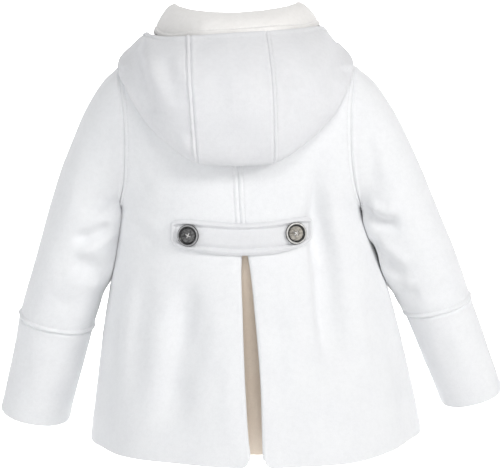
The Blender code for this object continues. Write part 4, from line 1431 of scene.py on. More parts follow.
    def build(self, room: Workroom) -> None:
        """Makes every panel of the torso and its topstitching.

        Args:
            room: Where the pieces go.
        """
        lines = []
        for side in Side:
            sheet = self.back(side)
            room.place_sheet(sheet, room.finishes.coat)
            heights = self.heights()
            outer_edge, other_edge = side.edges
            arm = np.nonzero((heights > self.form.armpit + 1) & (heights < self.form.shoulder - 1))[0]
            lines.append(sheet.lie_line(outer_edge, 5.5, arm[0], arm[-1]))
            run = sheet.distance(outer_edge)
            column = self.columns - 1 if side is Side.LEFT else sheet.outer.shape[1] - self.columns
            rows = np.nonzero((heights > self.pleat.top + 4) & (heights < self.form.neck_side - 6))[0]
            surface = sheet.surface()
            picked = [int(np.argmin(np.abs(np.abs(run[r] - run[r, column]) - 5.4))) for r in rows]
            lines.append((surface[rows, picked], sheet.normals[rows, picked]))
            front = self.front(side)
            room.place_sheet(front, room.finishes.coat)
            lines.append(front.lie_line(other_edge, 5.5, arm[0], arm[-1]))
            if side is Side.RIGHT:
                lines.append(front.lie_line(outer_edge, 6, 2, -3))
        underlay = self.underlay()
        # The underlay's beige finish is painted shade inside the pleat.
        room.place_sheet(underlay, room.finishes.underlay, Slot.UNDERLAY)
        room.place(StitchRun("torso_stitches").build(lines, room.finishes.thread), Slot.COAT)


@dataclass(frozen=True)
class Ring:
    """One ring of a sleeve: its outer and inner edge as seen from behind, and how deep and far forward it is."""

    outer_x: float
    outer_z: float
    inner_x: float
    inner_z: float
    half_depth: float
    forward: float
    lean: float

    def values(self) -> tuple[float, ...]:
        """The ring's numbers in order."""
        return (self.outer_x, self.outer_z, self.inner_x, self.inner_z, self.half_depth, self.forward, self.lean)

    def points(self, side: Side, count: int, square: float = 2.15) -> Grid:
        """The ring's outline, from its outer edge round the back.

        Args:
            side: Which sleeve.
            count: How many points to give.
            square: How square the oval is.

        Returns:
            The points.
        """
        outer = np.array([side.value * self.outer_x, -self.forward, self.outer_z])
        inner = np.array([side.value * self.inner_x, -self.forward, self.inner_z])
        lean = math.radians(self.lean)
        deep = np.array([0, math.cos(lean), -math.sin(lean)]) * self.half_depth
        turns = np.linspace(0, 2 * math.pi, count, endpoint=False)
        c = np.sign(np.cos(turns)) * np.abs(np.cos(turns)) ** (2 / square)
        s = np.sign(np.sin(turns)) * np.abs(np.sin(turns)) ** (2 / square)
        return (outer + inner) / 2 + np.outer(c, (outer - inner) / 2) + np.outer(s, deep)


@dataclass(frozen=True)
class Arm:
    """One sleeve and its deep cuff."""

    side: Side
    sleeve_rings: tuple[Ring, ...]
    cuff_rings: tuple[Ring, ...]
    back_creases: tuple[Crease, ...]
    front_creases: tuple[Crease, ...]
    cuff_creases: tuple[Crease, ...]
    form: TorsoForm = TorsoForm()
    touch: float = -232.0
    inward: float = 11.0
    thickness: float = 2.0
    gap: float = 0.1
    around: int = 112
    sleeve_rows: int = 120
    cuff_rows: int = 60
    solid_rows: int = 17

    def armhole(self) -> Grid:
        """The sleeve's first ring, on the armhole seam."""
        form, s = self.form, self.side.value
        turns = np.linspace(0, 2 * math.pi, self.around, endpoint=False)
        middle, tall = (form.armpit + form.shoulder) / 2, (form.shoulder - form.armpit) / 2
        height = middle + tall * np.cos(turns)
        half = np.where(np.sin(turns) >= 0, 1, -1)
        out = form.armhole_out(s, height) + self.gap
        x = form.curves["middle"](height) + s * out
        return np.stack([x, form.armhole_reach(half, height) * half, height], axis=1)

    def ring_at(self, rings: tuple[Ring, ...], place: float) -> Grid:
        """A ring's outline at a row number with a fraction, on smooth curves through the table's rows."""
        places, columns = tuple(range(len(rings))), zip(*(ring.values() for ring in rings))
        return Ring(*(float(Curve(places, column)(place)) for column in columns)).points(self.side, self.around)

    def sheet(self, name: str, grid: Grid, turned: tuple[Edge, ...]) -> ClothSheet:
        """A tube of cloth whose thickness lies in its rings' own planes.

        Args:
            name: Its name.
            grid: Its rings.
            turned: Its turned edges.

        Returns:
            The sheet.
        """
        grid = grid if self.side is Side.RIGHT else grid[:, ::-1]
        sheet = ClothSheet(name, grid, self.thickness, ring=True, turned=turned)
        centre = sheet.outer.mean(axis=1, keepdims=True)
        if ((sheet.outer - centre) * sheet.normals).sum() < 0:
            sheet.normals = -sheet.normals
        return sheet

    def sleeve(self) -> ClothSheet:
        """The sleeve, from the armhole to the forearm seam."""
        last, steps = len(self.sleeve_rings) - 1, self.solid_rows - 1
        first = self.armhole()
        top, bottom = first[0], first[self.around // 2]
        s, form = self.side.value, self.form
        base = Ring(s * top[0], top[2], s * bottom[0], bottom[2], (form.armhole_back + form.armhole_front) / 2,
                    -(form.armhole_back - form.armhole_front) / 2, 0)
        carried = first - base.points(self.side, self.around)
        near = spread_out(100, self.sleeve_rows, 10, 12, 0.25) / 100.0 * steps

        def at(i: float) -> Grid:
            """The ring at a place down the sleeve, still partly round the armhole near its top."""
            share = max(0, 1.0 - i / 7) ** 1.5
            return self.ring_at(self.sleeve_rings, (i - 1) * last / (steps - 1)) + carried * share

        one = at(1)
        grid = np.array([first * (1 - i) + one * i if i < 1 else at(i) for i in near])
        grid = smooth_rows(grid, 12)
        across = s * (grid[..., 0].mean(axis=1, keepdims=True) - grid[..., 0])
        across = across / across.max(axis=1, keepdims=True)
        beside = ease(np.abs(grid[..., 2] - self.touch), 62, 24) * ease(near, 0.2, 1.6)[:, None]
        beside = beside * ease(across, 0.1, 0.9)
        grid[..., 0] -= s * self.inward * beside
        grid = np.where(beside[..., None] > 0, form.keep_above(grid, 0.6), grid)
        sheet = self.sheet(f"sleeve_{self.side.word}", grid, ())
        sheet.sew(Edge.FIRST_ROW, Seam(0.1, 0.9, 0), 21 + s)
        sheet.sew(Edge.LAST_ROW, Seam(1, 1.9, 6.5, 0.9), 23 + s)
        self.crease(sheet, self.back_creases, self.front_creases)
        return sheet

    def crease(self, sheet: ClothSheet, behind: tuple[Crease, ...], before: tuple[Crease, ...]) -> None:
        """Adds folds to the back and the front of a tube.

        Args:
            sheet: The tube.
            behind: The back's folds.
            before: The front's folds.
        """
        x, y, z = (sheet.outer[..., k] for k in range(3))
        centre = y.mean(axis=1, keepdims=True)
        deep = np.abs(y - centre).max(axis=1, keepdims=True)
        rear, front = ease((y - centre) / deep, 0, 0.55), ease((y - centre) / deep, 0, -0.55)
        ends = ease(sheet.distance(Edge.FIRST_ROW), 3, 16) * ease(sheet.distance(Edge.LAST_ROW), 7, 18)
        for crease in behind:
            sheet.relief += crease.relief(x, z) * rear * ends
        for crease in before:
            sheet.relief += crease.relief(x, z) * front * ends
        sheet.relief += 0.25 * waver(z + 0.5 * x, 47, 51) * waver(x + y, 39, 52) * ends

    def cuff(self) -> ClothSheet:
        """The deep cuff, from the forearm seam to the sleeve's end."""
        first, second = self.cuff_rings[0], self.cuff_rings[1]
        long = math.hypot(first.outer_x - second.outer_x, first.outer_z - second.outer_z)
        start = self.gap * 1.4 / long
        last = len(self.cuff_rings) - 1
        places = start + spread_out(100, self.cuff_rows, 12, 8, 0.7) / 100.0 * (last - start)
        grid = np.array([self.ring_at(self.cuff_rings, p) for p in places])
        sheet = self.sheet(f"cuff_{self.side.word}", grid, (Edge.LAST_ROW,))
        sheet.sew(Edge.FIRST_ROW, Seam(0.9, 0.35), 27)
        self.crease(sheet, self.cuff_creases, self.cuff_creases)
        end = sheet.distance(Edge.LAST_ROW)
        sheet.relief += 0.5 * ease(end, 14, 3)
        return sheet

    def build(self, room: Workroom) -> None:
        """Makes the sleeve, the cuff and their topstitching.

        Args:
            room: Where the pieces go.
        """
        sleeve, cuff = self.sleeve(), self.cuff()
        room.place_sheet(sleeve, room.finishes.coat)
        room.place_sheet(cuff, room.finishes.coat)
        line = sleeve.lie_line(Edge.LAST_ROW, 6.5)
        stitches = StitchRun(f"sleeve_stitches_{self.side.word}").build([line], room.finishes.thread, closed=True)
        room.place(stitches, Slot.COAT)


@dataclass(frozen=True)
class CollarRow:
    """Where the collar's roll line and outer edge lie at an angle round the neck, 0 at the centre back."""

    angle: float
    roll_x: float
    roll_y: float
    roll_z: float
    edge_x: float
    edge_y: float
    edge_z: float
    left_rise: float = 0.0
    right_rise: float = 0.0


@dataclass(frozen=True)
class NeckSeam:
    """The line round the neck that the collar and the hood are sewn to."""

    torso: Torso

    def point(self, side: int, angle: float) -> Grid:
        """A point of the seam.

        Args:
            side: The sign of X.
            angle: 0 at the nape and 180 at the centre front, in degrees.

        Returns:
            The point.
        """
        form = self.torso.form
        if angle <= 90.0:
            turn = math.radians(angle)
            height = form.neck_side + (form.nape - form.neck_side) * math.cos(turn) ** 2
            return form.point(side, 1, height, turn)
        out, height = self.torso.neckline(np.array((angle - 90) / 90))
        return form.point(side, -1, height, form.angle_of(side, -1, height, out))


@dataclass(frozen=True)
class Collar:
    """The turn-down collar: a stand, a roll and a topstitched fall."""

    neck: NeckSeam
    thickness: float = 2.8
    lift: float = 4.2
    rise: float = 1.0
    drop: float = 1.2
    left_drop: float = 4.4
    right_drop: float = 1.6
    lie_from: float = 122.0
    rows: tuple[CollarRow, ...] = (
        CollarRow(0, 0, 54, 31, 0, 80, 13, -1.8, -1.8),
        CollarRow(25, 27, 50, 32, 36, 75, 11.5, -2.5, 2.2),
        CollarRow(50, 49, 36, 34, 67, 51, 9.5, -3.2, 5),
        CollarRow(75, 64, 16, 36.5, 86, 25, 10, -1.5, 6),
        CollarRow(92, 68.5, 2, 37.5, 92.5, 5, 10.5, 0, 6),
        CollarRow(115, 63, -32, 21, 87, -48, -18, 0, 2),
        CollarRow(140, 46.5, -57, -15, 67, -74, -60),
        CollarRow(158, 27.5, -67, -34, 46, -83, -84),
        CollarRow(170, 14.5, -71, -42, 33, -86, -94),
    )

    def section(self, angle: float, columns: int) -> Grid:
        """The collar at one angle, up its stand, over the roll and down its fall.

        Args:
            angle: The angle, negative at the wearer's right.
            columns: How many points to give.

        Returns:
            The points.
        """
        side, turn, form = (-1 if angle < 0 else 1), abs(angle), self.neck.torso.form
        names = ("roll_x", "roll_y", "roll_z", "edge_x", "edge_y", "edge_z", "left_rise", "right_rise")
        at = {n: float(Curve.of(self.rows, "angle", n)(turn)) for n in names}
        rise = at["left_rise"] if side > 0 else at["right_rise"]
        drop = self.drop + (self.left_drop if side > 0 else self.right_drop) * float(bump(turn, 68, 24))
        base = self.neck.point(side, turn)
        toward = -unit(base * [1, 1, 0.0])
        base = base + toward * self.thickness + [0, 0, self.rise]
        roll = np.array([side * at["roll_x"], at["roll_y"], at["roll_z"] + rise * 0.3])
        edge = np.array([side * at["edge_x"], at["edge_y"], at["edge_z"] + rise - drop])
        out = unit((edge - roll) * [1, 1, 0.0])
        stand_top = roll - out * 2.6 - [0, 0, 5.5]
        fall_top = roll + out * 5.2 - [0, 0, 1.8]
        bow = np.array([0, 0, 2.2]) + out * 1.2
        control = [base, (base + stand_top) / 2 - out * 0.6, stand_top, roll, fall_top, (fall_top + edge) / 2 + bow, edge]
        line = through(control, columns)
        lie = float(ease(turn, self.lie_from, self.lie_from + 25))
        if lie > 0:
            half = columns // 2
            low = form.keep_above(line[half:], self.lift)
            line[half:] = line[half:] * (1 - lie) + low * lie
        return line

    def build(self, room: Workroom) -> None:
        """Makes the collar and its topstitching.

        Args:
            room: Where the pieces go.
        """
        last = self.rows[-1].angle
        angles = np.linspace(-last, last, 230)
        grid = np.array([self.section(a, 54) for a in angles])
        fine = np.concatenate([np.linspace(0, 41, 30), np.linspace(42, 53, 24)])
        index = np.arange(54)
        grid = np.stack([np.stack([np.interp(fine, index, row[:, k]) for k in range(3)], axis=1) for row in grid])
        sheet = ClothSheet("collar", grid, self.thickness, turned=(Edge.FIRST_ROW, Edge.LAST_ROW, Edge.LAST_COLUMN))
        if sheet.normals[115, -2, 1] < 0:
            sheet.normals = -sheet.normals
            sheet.outer = sheet.outer[::-1]
            sheet.normals = sheet.normals[::-1]
        edge_seam = Seam(0, 0.8, 5.5, 0.8)
        sheet.sew(Edge.LAST_COLUMN, edge_seam, 61)
        for edge in (Edge.FIRST_ROW, Edge.LAST_ROW):
            sheet.sew(edge, edge_seam, 63)
        run = sheet.distance(Edge.FIRST_COLUMN)
        along = sheet.distance(Edge.FIRST_ROW)
        sheet.relief += 0.35 * waver(along, 46, 65) * bump(run, 58, 12)
        room.place_sheet(sheet, room.finishes.collar, Slot.COLLAR)
        line = sheet.lie_line(Edge.LAST_COLUMN, 5.5, 7, -7)
        room.place(StitchRun("collar_stitches").build([line], room.finishes.thread), Slot.COLLAR)


@dataclass(frozen=True)
class HoodRow:
    """The hood at an angle round the neck: its face edge, the middle of its outside, and the fold it hangs by."""

    angle: float
    face: Triple
    crown: Triple
    fold: Triple
    left_rise: float = 0.0
    right_rise: float = 0.0


@dataclass(frozen=True)
class Hood:
    """The three-panel hood, laid down on the back."""

    neck: NeckSeam
    thickness: float = 2.0
    seam_angle: float = 22.0
    seam_gap: float = 0.1
    drift: float = 10.0
    right_in: float = 3.0
    lie: float = 2.2
    room_under: float = 8.8
    neck_out: float = 5.0
    neck_up: float = 3.2
    columns: int = 120
    rows: tuple[HoodRow, ...] = (
        HoodRow(0, (0, 84.5, 9.5), (0, 133, -52), (0, 113.5, -130)),
        HoodRow(22, (41, 77, 8), (43, 130, -54), (39, 110, -127), -1.8, 3.5),
        HoodRow(45, (74, 56, 6.5), (82, 109, -42), (68, 100.5, -111), -2.4, 6.5),
        HoodRow(62, (91, 36, 6.5), (102, 80.5, -30), (95, 83.5, -88), -1.2, 7.5),
        HoodRow(78, (99, 17, 6.5), (112, 47, -18), (120, 62, -52), 0, 6),
        HoodRow(86, (101.5, 7, 6), (116, 25, -10), (129, 40, -35), 0, 3.5),
        HoodRow(94, (101, -4, 3.5), (114, 1, -5), (124, 7, -18), 0, 1),
        HoodRow(104, (97, -18, -2.5), (104, -18.5, -5.5), (109, -19, -11)),
    )
    creases: tuple[Crease, ...] = (
        Crease(((112, -8), (106, -34), (97, -62), (86, -88)), 6.5, 4.6, 0.8, 1.6),
        Crease(((78, -8), (72, -36), (62, -66)), 9, 1.8, 0.6),
        Crease(((60, -92), (54, -108), (48, -120)), 6, -1.8, 0.2),
        Crease(((28, -30), (14, -52), (2, -62)), 12, 1.8),
        Crease(((-8, -8), (-12, -50), (-10, -100)), 14, -1.6, 0.2),
        Crease(((-54, -16), (-62, -54), (-62, -96)), 9, 4.2, 0.5, 1.8),
        Crease(((-124, -30), (-110, -60), (-90, -90)), 9, -3, 0.3),
        Crease(((-104, -10), (-104, -34), (-94, -60)), 8, 1.6),
    )

    @cached_property
    def curves(self) -> dict[str, tuple[Curve, ...]]:
        """Each of the three guide lines as curves for X, Y and Z."""
        places = tuple(row.angle for row in self.rows)
        names = ("face", "crown", "fold")
        return {n: tuple(Curve(places, tuple(getattr(row, n)[k] for row in self.rows)) for k in range(3)) for n in names}

    def section(self, angle: float) -> tuple[Grid, Grid]:
        """The hood at one angle: from its face edge over the outside, round the fold and up to the neck.

        Args:
            angle: The angle, negative at the wearer's right.

        Returns:
            The points, and how far off the torso each has to stay.
        """
        side, turn, form = (-1 if angle < 0 else 1), abs(angle), self.neck.torso.form
        drift = self.drift * math.cos(math.radians(min(90, turn))) ** 1.5
        narrow = self.right_in * float(bump(turn, 90, 11)) if side < 0 else 0.0
        spots = []
        for name, share in (("face", 1), ("crown", 0.4), ("fold", 0)):
            x, y, z = (float(curve(turn)) for curve in self.curves[name])
            spots.append(np.array([side * (x - narrow) + drift * share, y, z]))
        face, crown, fold = spots
        neck = self.neck.point(side, turn)
        neck = form.lie_on(neck + unit(neck * [1, 1, 0.0]) * self.neck_out, self.neck_up)
        shares = np.array([0.14, 0.34, 0.6, 0.82])[:, None]
        under = form.lie_on(fold * (1 - shares) + neck * shares, self.lie + 0.6)
        line = through([face, (face + crown) / 2 + (crown - fold) * 0.10, crown, fold, *under, neck], self.columns)
        rise = float(Curve.of(self.rows, "angle", "left_rise" if side > 0 else "right_rise")(turn))
        crest = np.linalg.norm(line - crown, axis=1).argmin()
        line[:crest, 2] += rise * (1 - np.arange(crest) / crest)
        at = np.linalg.norm(line - fold, axis=1).argmin()
        place = np.arange(self.columns) - at
        return line, self.lie + (self.room_under - self.lie) * ease(place, 2.5, -5)

    def build(self, room: Workroom) -> None:
        """Makes the three panels with their seams, folds and topstitching.

        Args:
            room: Where the pieces go.
        """
        last, seam, gap = self.rows[-1].angle, self.seam_angle, self.seam_gap / 2
        side_places = spread_out(last - seam - gap, 96, 10, 8, 0.42)
        right = -last + (last - seam - gap) - side_places[::-1]
        middle = -seam + gap + spread_out(2 * (seam - gap), 60, 10, 10, 0.42)
        left = seam + gap + side_places
        angles = np.concatenate([right, middle, left])
        lines, rooms = (np.array(part) for part in zip(*(self.section(a) for a in angles)))
        grid = self.neck.torso.form.keep_above(lines, rooms)
        first = grid[0, 0]
        whole = ClothSheet("hood", grid, self.thickness)
        if whole.normals[len(angles) // 2, 30, 1] < 0:
            grid, whole.normals = grid[:, ::-1], -whole.normals[:, ::-1]
        bounds = (0, len(right), len(right) + len(middle), len(angles))
        names = ("hood_right", "hood_centre", "hood_left")
        flipped = np.linalg.norm(grid[0, 0] - first) > 1.0
        face_edge = Edge.LAST_COLUMN if flipped else Edge.FIRST_COLUMN
        lines = []
        for k, name in enumerate(names):
            part = slice(bounds[k], bounds[k + 1])
            ends = {"hood_right": (Edge.FIRST_ROW,), "hood_left": (Edge.LAST_ROW,)}.get(name, ())
            sheet = ClothSheet(name, grid[part], self.thickness, normals=whole.normals[part], turned=(face_edge, *ends))
            self.press(sheet, name, face_edge, lines)
            # The hood panels take the darker copy of the coat's wool: painted shade.
            room.place_sheet(sheet, room.finishes.hood)
        room.place(StitchRun("hood_stitches").build(lines, room.finishes.thread), Slot.COAT)

    def press(self, sheet: ClothSheet, name: str, face_edge: Edge, lines: list[tuple[Grid, Grid]]) -> None:
        """Adds a panel's seams and folds, and notes its topstitching.

        Args:
            sheet: The panel.
            name: Its name.
            face_edge: The edge at the wearer's face.
            lines: The stitch lines so far.
        """
        sheet.sew(face_edge, Seam(0, 0.9, 6, 1), 71)
        lines.append(sheet.lie_line(face_edge, 6))
        raised, thin = Seam(0.7, 1.5, 4.8, 1), Seam(0.6, 0.3)
        seams = {
            "hood_left": ((Edge.FIRST_ROW, raised),),
            "hood_centre": ((Edge.LAST_ROW, Seam(0.7, 0.6)), (Edge.FIRST_ROW, thin)),
            "hood_right": ((Edge.LAST_ROW, Seam(0.6, 0.6, 4, 0.5)),),
        }[name]
        for edge, seam in seams:
            sheet.sew(edge, seam, 73)
            if seam.stitch_at:
                lines.append(sheet.lie_line(edge, seam.stitch_at, 4, -4))
        x, y, z = (sheet.outer[..., k] for k in range(3))
        outside = ease(sheet.normals[..., 1] + 0.6 * sheet.normals[..., 2], -0.1, 0.3)
        rim = ease(sheet.distance(face_edge), 6, 18)
        for crease in self.creases:
            sheet.relief += crease.relief(x, z) * outside * rim
        sheet.relief += 0.3 * waver(x - 0.5 * z, 43, 75) * waver(z, 57, 76) * outside * rim


@dataclass(frozen=True)
class BeltPoint:
    """A point of the half belt's middle line."""

    across: float
    height: float


@dataclass(frozen=True)
class HalfBelt:
    """The padded half belt over the top of the pleat."""

    form: TorsoForm
    thickness: float = 3.4
    rise: float = 0.5
    half_height: float = 17.0
    round_ends: float = 5.0
    stitch_in: float = 6.4
    line: tuple[BeltPoint, ...] = (
        BeltPoint(71, -206.5),
        BeltPoint(30, -210.5),
        BeltPoint(-7, -212.5),
        BeltPoint(-45, -210),
        BeltPoint(-83, -203),
    )

    def surface(self, along: Grid, across: Grid) -> tuple[Grid, Grid, Grid]:
        """Points on the back under the belt.

        Args:
            along: -1 to 1 along the belt.
            across: -1 to 1 up the belt.

        Returns:
            The points, the way out, and each point's distance from the belt's edge.
        """
        left, right = self.line[0].across, self.line[-1].across
        x = (left + right) / 2 + along * (left - right) / 2
        middle = Curve.of(self.line, "across", "height")(x)
        tall = self.half_height * (1.0 - np.abs(along) ** self.round_ends) ** (1.0 / self.round_ends)
        z = middle + across * tall
        half = (left - right) / 2
        inward = np.minimum(half * (1 - np.abs(along)) * 1.12, tall * (1 - np.abs(across)))
        return self.form.back_at(x, z), self.form.back_normal(x, z), inward

    def build(self, room: Workroom) -> None:
        """Makes the belt and its topstitching.

        Args:
            room: Where the pieces go.
        """
        along = 0.9985 * np.sin(np.linspace(-math.pi / 2, math.pi / 2, 190))[:, None]
        across = np.sin(np.linspace(-math.pi / 2, math.pi / 2, 60))[None, :]
        along, across = np.broadcast_arrays(along, across)
        base, way, inward = self.surface(along, across)
        crown = 0.9 * np.sqrt(np.clip(inward / 3, 0, 1)) + 1.5 * bump(inward, 3.2, 2.2)
        crown = crown - 1.6 * bump(inward, self.stitch_in, 1.6) + 1.2 * ease(inward, 7, 13)
        crown = crown + 0.10 * waver(along * 76, 13, 81) * ease(inward, 1, 5)
        height = self.rise + self.thickness - 0.9
        outer = base + way * height
        sheet = ClothSheet("half_belt", outer, height - self.rise, normals=way, turned=tuple(Edge))
        sheet.relief += crown
        lift = sheet.surface()
        room_piece = self.solid(sheet, base + way * self.rise, lift, room)
        room.place(room_piece, Slot.COAT, "half_belt")
        turns = np.linspace(0, 2 * math.pi, 260)
        frame_x = 1.0 - self.stitch_in / 77.0
        frame_z = 1.0 - self.stitch_in / self.half_height
        sharp = 0.16
        a = frame_x * np.sign(np.cos(turns)) * np.abs(np.cos(turns)) ** sharp
        c = frame_z * np.sign(np.sin(turns)) * np.abs(np.sin(turns)) ** sharp
        points, ways, _ = self.surface(a, c)
        line = resample(points, np.linspace(0, length_of(points), 420))
        ways = np.stack([np.interp(np.linspace(0, 1, 420), np.linspace(0, 1, 260), ways[:, k]) for k in range(3)], axis=1)
        stitches = StitchRun("belt_stitches").build([(line + ways * (height - 0.10), ways)], room.finishes.thread)
        room.place(stitches, Slot.COAT)

    def solid(self, sheet: ClothSheet, under: Grid, over: Grid, room: Workroom) -> Thing:
        """Closes the belt between its flat underside and its padded outside.

        Args:
            sheet: The belt's sheet.
            under: The underside's points.
            over: The outside's points.
            room: Where its finish comes from.

        Returns:
            The object.
        """
        sheet.outer = over
        sheet.relief = np.zeros(over.shape[:2])
        sheet.thickness = 1.0
        sheet.normals = over - under
        around = np.cross(np.gradient(over, axis=1), np.gradient(over, axis=0))
        if (around[..., 1] > 0).mean() < 0.5:
            sheet.outer, sheet.normals = sheet.outer[::-1], sheet.normals[::-1]
        # The belt takes the same darker copy of the coat's wool as the hood: painted shade.
        return sheet.build(room.finishes.hood)


@dataclass(frozen=True)
class Button:
    """A four-hole button with a raised rim round a dished middle."""

    radius: float = 12.2
    rim: float = 4.0
    dish: float = 2.6
    hole_radius: float = 1.0
    hole_out: float = 2.6
    sides: int = 96

    def profile(self) -> list[tuple[float, float]]:
        """The button's turned outline, from the middle of its face round to the middle of its back."""
        r, top, dish = self.radius, self.rim, self.dish
        return [
            (0, dish), (r * 0.34, dish), (r * 0.50, dish + 0.02), (r * 0.585, dish + 0.06), (r * 0.60, dish - 0.12),
            (r * 0.625, dish - 0.22), (r * 0.655, dish - 0.15), (r * 0.69, dish + 0.35), (r * 0.73, top - 0.55),
            (r * 0.78, top - 0.14), (r * 0.84, top), (r * 0.895, top - 0.14), (r * 0.945, top - 0.52),
            (r * 0.98, top - 1.15), (r, top - 1.9), (r * 0.985, top - 2.7), (r * 0.94, 0.45), (r * 0.86, 0), (0, 0),
        ]

    def mesh(self) -> bpy.types.Mesh:
        """Turns the outline and drills the four holes."""
        outline = self.profile()
        turns = np.linspace(0, 2 * math.pi, self.sides, endpoint=False)
        points = [(r * math.cos(t) * MM, r * math.sin(t) * MM, z * MM) for r, z in outline[1:-1] for t in turns]
        n, rings = self.sides, len(outline) - 2
        faces = [
            (i * n + k, (i + 1) * n + k, (i + 1) * n + (k + 1) % n, i * n + (k + 1) % n)
            for i in range(rings - 1) for k in range(n)
        ]
        faces.append(tuple(range(n)))
        faces.append(tuple((rings - 1) * n + k for k in reversed(range(n))))
        blank = show("button_blank", mesh_of("button_blank", points, faces))
        drills = []
        for k in range(4):
            turn = math.pi / 4 + k * math.pi / 2
            bpy.ops.mesh.primitive_cylinder_add(
                vertices=24, radius=self.hole_radius * MM, depth=4 * self.rim * MM,
                location=(self.hole_out * math.cos(turn) * MM, self.hole_out * math.sin(turn) * MM, 0),
            )
            drills.append(bpy.context.object)
            cut = blank.modifiers.new("hole", "BOOLEAN")
            cut.object, cut.operation, cut.solver = drills[-1], "DIFFERENCE", "EXACT"
        graph = bpy.context.evaluated_depsgraph_get()
        finished = bpy.data.meshes.new_from_object(blank.evaluated_get(graph))
        for spare in [blank, *drills]:
            bpy.data.objects.remove(spare)
        finished.shade_smooth()
        finished.set_sharp_from_angle(angle=math.radians(32))
        return finished


@dataclass(frozen=True)
class ButtonSpot:
    """Where a button sits, and how it is turned."""

    node: str
    x: float
    height: float
    spin: float
    pale: bool


@dataclass(frozen=True)
class Buttons:
    """The half belt's two buttons and the row down the front."""

    torso: Torso
    belt: HalfBelt
    button: Button = Button()
    spots: tuple[ButtonSpot, ...] = (
        ButtonSpot("belt_button_left", 51, -209, 0.35, False),
        ButtonSpot("belt_button_right", -63, -207, 0.1, True),
    )

    def place(self, room: Workroom, mesh: bpy.types.Mesh, name: str, spin: float, pale: bool) -> None:
        """Sets one button where its solid is.

        Args:
            room: Where the pieces go.
            mesh: The button's mesh.
            name: Its solid's name.
            spin: How far its holes are turned.
            pale: Whether its horn is the paler one.
        """
        low, high = (np.array(corner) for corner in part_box(name))
        centre = (low + high) / 2
        if name.startswith("belt"):
            way = self.torso.form.back_normal(centre[0] / MM, centre[2] / MM)
        else:
            form, z = self.torso.form, centre[2] / MM
            up = form.point(-1, -1, z + 5, 0) - form.point(-1, -1, z - 5, 0)
            way = unit(np.cross([1, 0, 0.0], up))
        made = show(f"{name}_piece", mesh.copy(), room.finishes.pale_horn if pale else room.finishes.dark_horn)
        turn = Vector(way).to_track_quat("Z", "Y").to_matrix().to_4x4() @ Matrix.Rotation(spin, 4, "Z")
        origin = centre - np.asarray(way) * self.button.rim / 2 * MM
        made.matrix_world = Matrix.Translation(Vector(origin)) @ turn
        room.place(made, Slot.BUTTON, name)
        self.sew_on(room, made, name)

    def sew_on(self, room: Workroom, button: Thing, name: str) -> None:
        """Adds the thread that holds a button on.

        Args:
            room: Where the pieces go.
            button: The button.
            name: Its solid's name.
        """
        d = self.button.hole_out * math.sqrt(0.5)
        matrix = np.array(button.matrix_world)
        lines = []
        for y in (-d, d):
            for shift in (-0.3, 0.3):
                path = np.array([[-d, y + shift, self.button.dish + 0.05], [d, shift - y, self.button.dish + 0.05]])
                path[:, 2] += 0.35 * (y > 0)
                world = (matrix[:3, :3] @ path.T * MM).T + matrix[:3, 3]
                lines.append((world / MM, np.tile(matrix[:3, 2], (2, 1))))
        run = StitchRun(f"{name}_thread", length=2.83 * d + 0.6, pitch=2.83 * d, radius=0.34)
        room.place(run.build(lines, room.finishes.button_thread), Slot.BUTTON)

    def build(self, room: Workroom) -> None:
        """Makes every button.

        Args:
            room: Where the pieces go.
        """
        mesh = self.button.mesh()
        for spot in self.spots:
            self.place(room, mesh, spot.node, spot.spin, spot.pale)
        for k in range(4):
            self.place(room, mesh, f"front_button_{k + 1}", 0.2 + 0.5 * k, k % 2 == 1)


@dataclass(frozen=True)
class Light:
    """A soft studio light that looks at a point of the coat."""

    name: str
    place: Triple
    at: Triple
    size: float
    power: float
    colour: Triple = (1, 1, 1)


